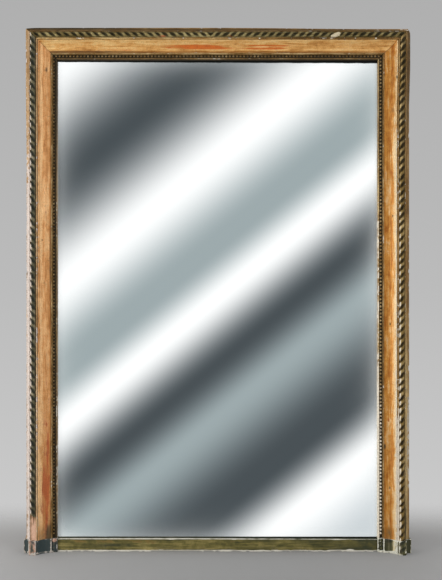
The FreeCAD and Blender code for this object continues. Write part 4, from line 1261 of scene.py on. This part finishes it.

# Painted shade: the dark rows from about 19 to 37 mm lie in the bed under the rope, with the dirt there.
OUTER_PATINA_AND_SHADE = {
    Side.LEFT: Patina(((0, 0.5, 0, 0.3, 0.45), (1.8, 0.62, 0, 0.66, 0.05), (9, 0.72, 0, 0.7, 0),
        (16, 0.7, 0, 0.62, 0.1), (19, 0.5, 0, 0.4, 0.35), (23, 0.2, 0, 0, 0.9), (33, 0.3, 0, 0, 0.7),
        (36.5, 0.35, 0, 0, 0.35), (39, 0.42, 0, 0, 0.1), (41.5, 0.45, 0, 0.05, 0.1),
        (43.5, 0.3, 0, 0, 0.4)), seed=11, marks=marks(
        ground=((1690, 8, 440, 16, -0.34), (50, 27, 88, 9, -0.25)),
        dirt=((1690, 8, 60, 14, 0.12), (1500, 19, 260, 6, 0.4), (60, 39, 48, 3, 0.7), (40, 27, 90, 12, -1.3),
            (905, 2, 9, 4, 0.5)),
        clay=((50, 27, 88, 13, 0.85),),
        tone=((330, 40, 300, 7, 0.35),))),
    Side.RIGHT: Patina(((0, 0.45, 0, 0.02, 0.7), (3, 0.4, 0, 0.15, 0.35), (8, 0.5, 0, 0.12, 0.1),
        (14, 0.55, 0, 0.02, 0.1), (16, 0.4, 0, 0.02, 0.3), (19, 0.3, 0, 0, 0.65), (27, 0.2, 0, 0, 0.95),
        (36, 0.3, 0, 0, 0.8), (37.5, 0.3, 0, 0, 0.5), (40, 0.35, 0, 0, 0.4), (42, 0.4, 0, 0.05, 0.4),
        (43.5, 0.3, 0, 0, 0.6)), seed=12, marks=marks(
        ground=((350, 4, 230, 7, 0.4), (220, 39, 280, 6, 0.75)),
        tone=((330, 12, 400, 10, 0.65),),
        dirt=((1600, 5, 260, 9, 0.25), (220, 39, 300, 7, -0.6), (95, 14, 75, 4.5, 0.6)))),
    Side.TOP: Patina(((0, 0.4, 0, 0.1, 0.6), (3, 0.42, 0, 0.1, 0.45), (8, 0.45, 0, 0.04, 0.38), (15, 0.45, 0, 0, 0.36),
        (18, 0.3, 0, 0, 0.6), (27, 0.2, 0, 0, 0.9), (36, 0.4, 0, 0, 0.55), (37.5, 0.5, 0, 0, 0.2),
        (40, 0.6, 0, 0.03, 0.05), (42, 0.45, 0, 0, 0.2), (43.5, 0.3, 0, 0, 0.5)), seed=13, marks=marks(
        clay=((29, 38, 10, 3, 0.35),),
        dirt=((-500, 1, 240, 3.4, 0.7),),
        ground=((-520, 11, 150, 5, 0.22), (600, 3, 26, 8, 0.45)),
        tone=((400, 40.5, 290, 6, -0.5),))),
}
# Painted highlight: the high tone rows on the outer part of each cove, next to its rim, light the part of the hollow
# that faces the light, in cream with ground on the right; there, tone and ground marks near the top hold it back.
COVE_PATINA_AND_HIGHLIGHT = {
    Side.LEFT: Patina(((43.5, 0.5, 0, 0, 0.3), (45.5, 0.5, 0, 0, 0.06), (48, 0.72, 0, 0.05, 0), (51, 0.96, 0, 0.1, 0),
        (54, 0.8, 0, 0, 0), (58, 0.6, 0.08, 0, 0), (66, 0.58, 0.12, 0, 0), (73, 0.62, 0.1, 0, 0.02),
        (77, 0.42, 0.1, 0, 0.15), (80, 0.22, 0.1, 0, 0.45)), streak=0.4, seed=21, marks=marks(
        clay=((280, 66, 290, 14, 0.34), (250, 73, 150, 6, 0.3), (180, 60, 140, 11, 0.3)),
        tone=((700, 60, 260, 30, -0.08), (330, 45, 300, 4, 0.4), (1400, 58, 200, 8, -0.12)),
        dirt=((40, 62, 50, 60, 0.4), (40, 76, 80, 10, 0.45), (1563, 66, 9, 3, 0.6), (1558, 69, 22, 2, 0.35),
            (1011, 55, 4, 2.5, 0.6), (940, 78, 130, 2.2, 0.5)),
        ground=((130, 56, 60, 4, 0.2),))),
    Side.RIGHT: Patina(((43.5, 0.6, 0, 0.1, 0.25), (44.6, 1.15, 0, 0.5, 0), (48, 1, 0, 0.28, 0), (51, 0.76, 0, 0, 0),
        (54, 0.52, 0, 0, 0), (58, 0.33, 0, 0, 0), (65, 0.42, 0.04, 0, 0), (74, 0.42, 0.16, 0, 0.02),
        (78, 0.3, 0.2, 0, 0.15), (80, 0.3, 0.15, 0, 0.35)), streak=0.4, blotch=0.28, seed=22, marks=marks(
        dirt=((1535, 45, 9, 4, 0.7), (1430, 54, 9, 4, 0.4), (1089, 55, 3, 2, 1), (740, 62, 4, 2.4, 1),
            (344, 78, 9, 3, 0.8), (211, 63, 5, 2.6, 0.7), (62, 68, 26, 13, 0.5)),
        clay=((431, 67, 7, 2.6, 0.7),),
        ground=((1600, 48, 300, 9, -0.3), (330, 46, 330, 4, 0.15)),
        tone=((1600, 50, 240, 12, -0.22),))),
    Side.TOP: Patina(((43.5, 0.5, 0, 0, 0.3), (45, 0.72, 0, 0, 0.05), (52, 0.62, 0.03, 0, 0), (58, 0.5, 0.08, 0, 0),
        (66, 0.52, 0.08, 0, 0), (71, 0.6, 0.02, 0, 0), (74, 0.46, 0, 0, 0.05), (76.5, 0.2, 0, 0, 0.3),
        (78.5, 0.1, 0, 0, 0.5), (80, 0.25, 0, 0, 0.3)), streak=0.34, blotch=0.26, seed=23, marks=marks(
        clay=((-75, 62, 118, 6, 0.75), (-30, 67, 96, 3.6, 0.6), (150, 59, 74, 2.6, 0.75), (150, 67, 72, 3.6, 0.75),
            (-310, 70, 100, 4, 0.25), (350, 60, 210, 30, 0.16)),
        tone=((140, 63, 25, 6, 0.5), (-500, 60, 260, 30, 0.12), (-440, 73, 220, 5, -0.3)),
        dirt=((-540, 62, 20, 3, 0.2), (-440, 77.5, 190, 3.5, 0.45)))),
}
# Painted light: the dark rows from about 87 to 94 mm, in the channel round the pearls, are painted shade with their
# dirt; on the top the lip's wall, from 99.6 mm, is painted the dark shade of the reveal, and on the left its wall at
# 101 mm is painted pale where it faces the light.
BEAD_PATINA_AND_LIGHT = {
    Side.LEFT: Patina(((80, 0.45, 0.05, 0, 0.05), (82, 0.52, 0.2, 0, 0), (85.4, 0.52, 0.16, 0, 0),
        (87, 0.4, 0.05, 0, 0.4), (89, 0.2, 0, 0, 1), (94, 0.3, 0, 0, 0.95), (97.5, 0.3, 0, 0, 0.75),
        (99, 0.5, 0, 0.15, 0.3), (100.2, 0.5, 0, 0.15, 0.2), (101, 0.6, 0, 0.5, 0.1)), seed=31, marks=marks(
        dirt=((45, 90, 60, 30, 0.5), (1560, 100, 220, 5, 0.5)),
        ground=((350, 100, 330, 3, 0.25), (1560, 100, 300, 5, -0.4)))),
    Side.RIGHT: Patina(((80, 0.4, 0, 0, 0.25), (82, 0.46, 0.05, 0.02, 0.2), (84.8, 0.42, 0, 0, 0.4),
        (86.5, 0.25, 0, 0, 0.8), (89, 0.2, 0, 0, 1), (94, 0.4, 0, 0.1, 0.6), (96, 0.5, 0, 0.25, 0.3),
        (97, 0.6, 0, 0.42, 0.12), (100.4, 0.6, 0, 0.46, 0.15), (101, 0.6, 0, 0.4, 0.25)), seed=32, marks=marks(
        ground=((1560, 97, 380, 9, -0.6), (200, 97, 330, 7, 0.55)),
        dirt=((1560, 98, 360, 9, 0.35), (200, 94, 330, 4, -0.3)))),
    Side.TOP: Patina(((80, 0.4, 0, 0, 0.15), (82, 0.5, 0, 0, 0.05), (85, 0.45, 0, 0, 0.15), (86.5, 0.4, 0, 0, 0.4),
        (88, 0.2, 0, 0, 0.9), (93, 0.25, 0, 0, 0.85), (96, 0.3, 0, 0, 0.55), (98.5, 0.35, 0, 0, 0.5),
        (99.6, 0.3, 0, 0, 1), (101, 0.1, 0, 0, 1.8)), seed=33, marks=marks(
        dirt=((-470, 87, 120, 12, 0.35),))),
}
PEARL_PATINA = {
    Side.LEFT: Patina(((80, 0.42, 0, 0.05, 0.5), (101, 0.42, 0, 0.05, 0.5)), seed=34),
    Side.RIGHT: Patina(((80, 0.58, 0, 0.24, 0.3), (101, 0.58, 0, 0.24, 0.3)), seed=35, marks=marks(
        dirt=((1560, 90, 400, 30, 0.3),),
        ground=((200, 90, 360, 30, 0.4),))),
    Side.TOP: Patina(((80, 0.42, 0, 0.02, 0.5), (101, 0.42, 0, 0.02, 0.5)), seed=36),
}
# Painted light: the ground rows on the flank that faces the key light, outer on the left and inner on the right, are
# painted highlight, and the dirt rows on the far flank are painted shade; on the right, ground marks near the top hold
# that highlight back.
ROPE_PATINA_AND_LIGHT = {
    Side.LEFT: Patina(((15, 0.5, 0, 0.3, 0.2), (20, 0.5, 0, 0.3, 0.3), (25, 0.45, 0, 0.1, 0.4), (32, 0.4, 0, 0, 0.6),
        (38, 0.4, 0, 0, 0.5)), seed=41, marks=marks(
        ground=((1690, 20, 300, 20, -0.35), (760, 25, 480, 5, 0.22)))),
    Side.RIGHT: Patina(((15, 0.4, 0, 0, 0.45), (22, 0.42, 0, 0, 0.4), (28, 0.5, 0, 0.05, 0.25),
        (31, 0.6, 0, 0.15, 0.15), (38, 0.6, 0, 0.2, 0.2)), seed=42, marks=marks(
        ground=((1560, 30, 620, 20, -0.45), (1640, 34, 330, 20, -1), (110, 31, 80, 5, 0.25)),
        dirt=((1560, 27, 420, 20, 0.3), (110, 31, 80, 5, -0.2)))),
    Side.TOP: Patina(((15, 0.5, 0, 0, 0.4), (24, 0.5, 0, 0, 0.3), (38, 0.5, 0, 0, 0.3)), seed=43, marks=marks(
        ground=((380, 29, 12.5, 7.8, 1.6, -0.95),),
        dirt=((380, 29, 13, 8.4, -3.8, -0.95), (340, 27, 320, 20, 0.15)),
        clay=((40, 33, 14, 4, 0.5), (-10, 22, 14, 3, 0.3), (-180, 33, 20, 3, 0.35)),
        tone=((40, 29, 330, 20, 0.16),))),
}
BLOCK_PATINA_AND_HIGHLIGHT = {
    Side.LEFT: Patina(((-6, 0.3, 0, 0.35, 0.5), (-3, 0.3, 0, 0.1, 0.8), (2, 0.3, 0, 0.05, 0.85), (8, 0.3, 0, 0.2, 0.6),
        (12, 0.4, 0.3, 0.3, 0.3), (16, 0.5, 0.66, 0.25, 0.08), (24, 0.5, 0.56, 0.1, 0.22), (30, 0.5, 0.5, 0.05, 0.3),
        (36, 0.5, 0.66, 0.15, 0.1), (38.4, 0.5, 0.4, 0.46, 0.1), (40, 0.3, 0, 0.2, 0.7), (42, 0.3, 0, 0, 0.9),
        (60, 0.25, 0, -0.1, 0.95), (76, 0.3, 0, 0, 0.85), (80, 0.4, 0.1, 0.42, 0.4), (83, 0.3, 0, 0.4, 0.4),
        (85.5, 0.3, 0, 0, 0.95), (94, 0.3, 0, 0.05, 0.9), (96, 0.4, 0.1, 0.38, 0.4),
        (101, 0.3, 0, 0.2, 0.7)), streak=0.15, blotch=0.9, seed=51, marks=marks(
        clay=((40, 92, 8, 9, 1),),
        dirt=((40, 92, 9, 9, -0.9),))),
    # Painted highlight: on the right block the rows from 43.9 to 54 mm light the cove with high tone and the pale
    # ground colour.
    Side.RIGHT: Patina(((-6, 0.4, 0, 0.1, 0.4), (-2, 0.35, 0, 0, 0.5), (8, 0.35, 0, 0, 0.45), (14, 0.4, 0, 0.05, 0.4),
        (20, 0.36, 0, 0, 0.45), (30, 0.36, 0, 0, 0.5), (37, 0.45, 0, 0.15, 0.4), (39.5, 0.6, 0, 0.55, 0.1),
        (41, 0.4, 0, 0.2, 0.4), (43.9, 0.8, 0, 0.55, 0), (48, 1, 0, 0.62, 0), (51.5, 0.95, 0, 0.4, 0),
        (54, 0.7, 0, 0.1, 0.1), (59, 0.42, 0, 0, 0.4), (78, 0.25, 0, 0, 0.7), (80.5, 0.5, 0, 0.5, 0.2),
        (83, 0.4, 0, 0.56, 0.2), (85.5, 0.3, 0, 0, 0.95), (94, 0.3, 0, 0.1, 0.8), (96, 0.5, 0, 0.48, 0.3),
        (101, 0.4, 0, 0.3, 0.5)), streak=0.1, blotch=0.45, seed=52, marks=marks(
        dirt=((42, 66, 7, 14, 0.5),))),
}

RAIL_PATINA = Patina(((0, 0.5, 0, 0.2, 0.1), (6, 0.45, 0, 0.08, 0.2), (20, 0.55, 0, 0, 0.15), (30, 0.5, 0, 0, 0.1),
    (40, 0.4, 0, 0.02, 0.2), (44, 0.4, 0, 0, 0.4), (46, 0.4, 0, 0, 0.5)), streak=0.5, blotch=0.9, marks=marks(
    clay=((-350, 34, 210, 9, 0.42), (90, 30, 90, 8, 0.34), (-90, 20, 60, 8, 0.3)),
    ground=((-151, 41, 13, 2.4, 1), (54, 40.5, 8, 2.2, 1), (392, 40, 22, 2.4, 0.9), (432, 4.5, 11, 3.6, 1.3),
        (385, 2, 40, 2.6, 0.5), (20, 3, 26, 2.6, 0.7), (-290, 3, 30, 2, 0.5)),
    tone=((-250, 8, 90, 5, 0.3),),
    dirt=((470, 24, 60, 30, 0.25),)))


# PINK is the gesso of the left side and CREAM that of the right side and the lip; each also paints the highlights laid
# through the ground mask.
PINK: Shown = (224, 210, 200)  # ground of the left side
CREAM: Shown = (234, 222, 202)  # ground of the right side and the lip


@dataclass
class GiltFrame:
    """Mouldings, rope and pearls round the glass."""

    outer: Moulding = field(default_factory=lambda: Moulding(
        "gilt_edge_moulding", "outer_moulding", "edge_gilding", OUTER_CORNERS, OUTER_PATINA_AND_SHADE, seed=3))
    cove: Moulding = field(default_factory=lambda: Moulding(
        "gilt_cove", "cove_moulding", "cove_gilding", COVE_CORNERS, COVE_PATINA_AND_HIGHLIGHT, chip=0.9, seed=4))
    bead: Moulding = field(default_factory=lambda: Moulding(
        "gilt_sight_moulding", "bead_moulding", "dark_gilding", BEAD_CORNERS, BEAD_PATINA_AND_LIGHT, chip=0.8,
        drawn=2.2 * MM, seed=5))
    rope: Rope = field(default_factory=Rope)
    pearls: PearlString = field(default_factory=PearlString)
    finishes: tuple[AgedFinish, ...] = (
        AgedFinish("edge_leaf", (112, 78, 40), (164, 128, 84), (206, 174, 136), (226, 182, 154), PINK, (46, 50, 46)),
        AgedFinish("warm_edge_leaf", (92, 64, 24), (150, 112, 58), (204, 174, 120), ground=CREAM, dirt=(40, 32, 12)),
        # The cove leaf has a copy for each side, coloured to the look of that side under its light: the left copy is
        # paler to stand against the key light's shade on it, and the right copy's pale end and cream ground paint the
        # highlight on its outer part.
        AgedFinish("cove_leaf", (154, 98, 46), (204, 144, 86), (242, 196, 140), (186, 98, 50), dirt=(50, 48, 30),
                   metal=0.35),
        AgedFinish("bright_cove_leaf", (150, 86, 18), (194, 134, 56), (228, 202, 156), (172, 96, 30), CREAM,
                   (44, 34, 12), 0.35),
        AgedFinish("top_cove_leaf", (146, 92, 30), (206, 152, 84), (232, 194, 130), (202, 104, 34), dirt=(58, 40, 14),
                   metal=0.35),
        AgedFinish("sight_leaf", (84, 62, 26), (130, 98, 50), (190, 164, 116), ground=CREAM, dirt=(34, 28, 12),
                   metal=0.2),
        AgedFinish("left_rope_leaf", (54, 54, 40), (98, 92, 68), (186, 172, 142), ground=PINK, dirt=(30, 34, 28),
                   metal=0.2, glint=0.12),
        AgedFinish("rope_leaf", (78, 62, 26), (122, 98, 50), (190, 166, 116), ground=CREAM, dirt=(17, 15, 7),
                   metal=0.2, glint=0.12),
        AgedFinish("top_rope_leaf", (70, 62, 30), (112, 96, 56), (172, 158, 110), ground=(206, 193, 164),
                   dirt=(20, 20, 10), metal=0.2, glint=0.12),
    )

    def build(self) -> None:
        """Makes and dresses every length."""
        made = {finish.name: finish.material() for finish in self.finishes}

        def dressed(*names: str) -> dict[Side, bpy.types.Material]:
            """Finishes of the left, the right and the top, by name."""
            return {side: made[name] for side, name in zip(Side, names)}

        self.outer.build(dressed("edge_leaf", "warm_edge_leaf", "warm_edge_leaf"))
        self.cove.build(dressed("cove_leaf", "bright_cove_leaf", "top_cove_leaf"))
        self.bead.build(dict.fromkeys(Side, made["sight_leaf"]))
        self.rope.build(ROPE_PATINA_AND_LIGHT, dressed("left_rope_leaf", "rope_leaf", "top_rope_leaf"))
        for side in Side:
            self.pearls.build(side, PEARL_PATINA[side], made["sight_leaf"])


@dataclass
class Plinth:
    """Rail and blocks at the foot."""

    rail: PlinthRail = field(default_factory=lambda: PlinthRail(RAIL_PATINA))
    block: PlinthBlock = field(default_factory=lambda: PlinthBlock(BLOCK_CORNERS, BLOCK_PATINA_AND_HIGHLIGHT))
    olive: AgedFinish = AgedFinish("olive_paint", (52, 52, 20), (98, 90, 42), (146, 132, 78), (132, 106, 52),
                                   (216, 212, 198), (34, 42, 26), 0.0, 0.55)
    slate: AgedFinish = AgedFinish("slate_paint", (52, 56, 50), (86, 84, 70), (150, 130, 108), (204, 162, 140),
                                   (196, 188, 178), (44, 58, 60), 0.0, 0.55)
    # The pale end and pale ground of block_paint paint the highlight on the right block's cove.
    mottled: AgedFinish = AgedFinish("block_paint", (46, 46, 20), (92, 88, 48), (214, 200, 160),
                                     ground=(224, 222, 206), dirt=(26, 30, 16), metal=0.0, gloss=0.55)

    def build(self) -> None:
        """Makes and dresses the three pieces."""
        self.rail.build(self.olive.material())
        self.block.build(Side.LEFT, self.slate.material())
        self.block.build(Side.RIGHT, self.mottled.material())


@dataclass
class CarriedNodes:
    """CAD nodes that keep their shape and take a finish: glass, back, core, pegs, iron and felt."""

    level: tuple[str, ...] = ("back_bottom_rail", "back_lower_rail", "back_upper_rail", "back_top_rail",
                              "front_core_top", "corner_keys")
    upright: tuple[str, ...] = ("back_stile_left", "back_stile_right", "back_muntin_lower", "back_muntin_middle",
                                "back_muntin_upper", "front_core_left", "front_core_right")
    oak: tuple[str, ...] = ("back_pegs", "glass_seats")
    iron: tuple[str, ...] = ("hanging_plate_left", "hanging_plate_right", "hanging_plate_nails", "back_nails")

    def dress(self, nodes: dict[str, bpy.types.Object]) -> None:
        """Gives each node the finish of its group.

        Args:
            nodes: The CAD nodes by name.
        """
        panels = tuple(name for name in sorted(nodes) if name.startswith("back_panel_"))
        pine = ((168, 132, 92), (132, 96, 62))
        groups = (
            (self.level, WoodFinish("aged_pine_level", Grain.LEVEL, *pine)),
            (self.upright, WoodFinish("aged_pine_upright", Grain.UPRIGHT, *pine)),
            (panels, WoodFinish("pale_pine", Grain.UPRIGHT, (188, 154, 112), (156, 120, 80))),
            (self.oak, WoodFinish("peg_oak", Grain.LEVEL, (140, 104, 68), (104, 74, 46))),
            (self.iron, IronFinish("forged_iron")),
            (("glass_packing",), FeltFinish("packing_felt")),
            (("mirror_plate",), SilverFinish("old_silver")),
        )
        for names, finish in groups:
            material = finish.material()
            for name in names:
                nodes[name].data.materials.clear()
                nodes[name].data.materials.append(material)
                LOG.info("%s takes %s", name, finish.name)


# ---------------------------------------------------------------- studio


class Band(Enum):
    """Tones of the card that the mirror shows, as displayed."""

    WHITE = (1.0, 1.0, 1.0)
    TEAL = (0.60, 0.645, 0.655)
    SLATE = (0.29, 0.315, 0.33)
    MIST = (0.775, 0.80, 0.815)


@dataclass
class Studio:
    """Camera, lamps, floor, background and the card in front of the mirror."""

    eye: tuple[float, float, float] = (0.0114, -2.7965, 0.850)
    sensor: float = 36.0
    lens: float = 36.0 * 2800 / (580 * 3.25)
    card_gap: float = 4.0
    card_half: float = 2.6
    bands: tuple[tuple[float, Band], ...] = (
        (110, Band.WHITE), (232, Band.SLATE), (336, Band.WHITE), (414, Band.TEAL), (428, Band.TEAL), (476, Band.WHITE),
        (542, Band.SLATE), (595, Band.TEAL), (680, Band.SLATE), (694, Band.SLATE), (756, Band.WHITE), (830, Band.MIST))

    def build(self) -> None:
        """Sets up everything that isn't part of the object."""
        self.camera()
        self.lamps()
        self.background()
        self.floor()
        self.card()
        bpy.context.scene.view_settings.view_transform = "Standard"

    def camera(self) -> None:
        """A level camera square to the mirror, whose longer side takes the sensor's width."""
        data = bpy.data.cameras.new("camera")
        data.sensor_width, data.lens, data.clip_end = self.sensor, self.lens, 60.0
        camera = placed("camera", data)
        camera.location = self.eye
        camera.rotation_euler = (math.pi / 2, 0.0, 0.0)
        bpy.context.scene.camera = camera

    def lamp(self, name: str, place: tuple[float, float, float], power: float, size: tuple[float, float],
             colour: Colour) -> None:
        """A soft box that faces the middle of the mirror.

        Args:
            name: Name of the lamp.
            place: Where it stands.
            power: Its power in watts.
            size: Its width and height.
            colour: Its colour.
        """
        data = bpy.data.lights.new(name, "AREA")
        data.shape, data.size, data.size_y = "RECTANGLE", *size
        data.energy, data.color = power, colour
        lamp = placed(name, data)
        lamp.location = place
        aim = np.array((0.0, 0.0, 0.85)) - np.array(place)
        lamp.rotation_euler = (math.acos(-aim[2] / np.linalg.norm(aim)), 0.0, math.atan2(aim[1], aim[0]) - math.pi / 2)

    def lamps(self) -> None:
        """Key from the left and low, a fill from the right."""
        self.lamp("key", (-3.1, -2.0, 0.75), 88.0, (1.8, 2.2), (1.0, 0.985, 0.965))
        self.lamp("fill", (2.9, -2.8, 1.7), 50.0, (2.0, 2.4), (0.97, 0.985, 1.0))

    def background(self) -> None:
        """Grey that pales downwards for the eye and for reflections, and an even light for the rest."""
        shader = Shader(bpy.data.worlds.new("studio"))
        bpy.context.scene.world = shader.owner
        up = shader.axes(shader.add("TexCoord").outputs["Generated"])[2]
        height = shader.add("MapRange", {0: up, 1: -0.25, 2: 0.32}).outputs[0]
        greys = ((0.0, shade(202, 202, 202)), (0.45, shade(187, 187, 187)), (1.0, shade(175, 175, 175)))
        shown = shader.add("Background", {0: shader.ramp(height, greys)}).outputs[0]
        light = shader.add("Background", {0: (1.0, 0.995, 0.985), 1: 0.66}).outputs[0]
        rays = shader.add("LightPath").outputs
        seen = rays["Is Camera Ray"]
        for kind in ("Is Glossy Ray", "Is Transmission Ray"):
            seen = shader.math("MAXIMUM", seen, rays[kind])
        shader.finish(shader.cover(seen, light, shown))

    def sheet(self, name: str, corners: Sequence[Sequence[float]], material: bpy.types.Material) -> bpy.types.Object:
        """A flat four-cornered part of the stage.

        Args:
            name: Its name.
            corners: Its corners in order.
            material: Its material.

        Returns:
            The new object.
        """
        mesh = bpy.data.meshes.new(name)
        mesh.from_pydata(corners, [], [(0, 1, 2, 3)])
        mesh.materials.append(material)
        sheet = placed(name, mesh)
        return sheet

    def floor(self) -> None:
        """Pale floor with a painted shadow, darker under the mirror, that thins out behind it, to the sides and far in
        front.
        """
        middle, near, back, side = 0.16, -3.2, 0.72, 3.0
        shader = Shader.named("studio_floor")
        place = shader.place()
        x, y, _ = shader.axes(place)
        off = shader.math("ABSOLUTE", shader.math("SUBTRACT", x, middle))
        # Painted shadow: the floor is darker round x = 0.16 m, under the mirror and a little right of its middle, and
        # paler towards the sides.
        painted_shadow_fade = shader.sum(shader.step(off, 0.1, 1.2), (shader.noise(place, 3, 2), 0.2))
        matt = shader.surface(Base_Color=shader.blend(painted_shadow_fade, shade(155, 155, 155), shade(182, 182, 182)), Roughness=0.9)
        far = shader.math("MAXIMUM", shader.step(y, 0.10, 0.68), shader.step(y, near, -1.6, 1.0, 0.0))
        far = shader.math("MAXIMUM", far, shader.step(shader.math("ABSOLUTE", x), 1.5, side))
        corners = ((-side, near, 0), (side, near, 0), (side, back, 0), (-side, back, 0))
        self.sheet("floor", corners, shader.finish(shader.cover(far, matt))).visible_glossy = False

    def card(self) -> None:
        """A card behind the camera with soft diagonal bands, which only reflections show.

        The mirror shows a place on the card at a share of its size, eye to glass over eye to
        glass to card. A band's place is the height from the top plus slope times the distance
        from the left, in picture points of 3.25 mm at a distance of 2.8 m. The card thins out
        towards its sides.
        """
        glass, slope, point, away = 0.012, 0.82, 0.00325, 2.8
        middle_x, middle_y = 221, 290
        gamma, strength, even = 2.2, 1.1, 1.5
        low, high = -2.2, 3.9
        gap = glass - self.eye[1]
        pixel = point * (gap + glass + self.card_gap) / away
        first, last = self.bands[0][0], self.bands[-1][0]
        scale = 1 / (pixel * (last - first))
        level = (middle_y + slope * middle_x - first) / (last - first)
        shader = Shader.named("banded_card")
        x, _, z = shader.axes(shader.place())
        side = shader.math("MULTIPLY_ADD", x, slope * scale,
                           level - slope * scale * self.eye[0] + scale * self.eye[2])
        place = shader.math("MULTIPLY_ADD", z, -scale, side)
        stops = [((where - first) / (last - first), band.value) for where, band in self.bands]
        tone = shader.add("Gamma", {0: shader.ramp(place, stops, "EASE"), 1: gamma}).outputs[0]
        glow = shader.add("Emission", {0: tone, 1: strength}).outputs[0]
        thin = shader.step(shader.math("ABSOLUTE", x), even, self.card_half)
        half, y = self.card_half, -self.card_gap
        corners = ((-half, y, low), (half, y, low), (half, y, high), (-half, y, high))
        card = self.sheet("card", corners, shader.finish(shader.cover(thin, glow)))
        for ray in ("visible_camera", "visible_diffuse", "visible_shadow", "visible_transmission"):
            setattr(card, ray, False)


def main() -> None:
    """Builds the object's pieces around the frame, then the studio."""
    logging.basicConfig(level=logging.INFO, format="%(message)s")
    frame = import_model()
    GiltFrame().build()
    Plinth().build()
    CarriedNodes().dress(frame["nodes"])
    Studio().build()


if __name__ == "__main__":
    main()
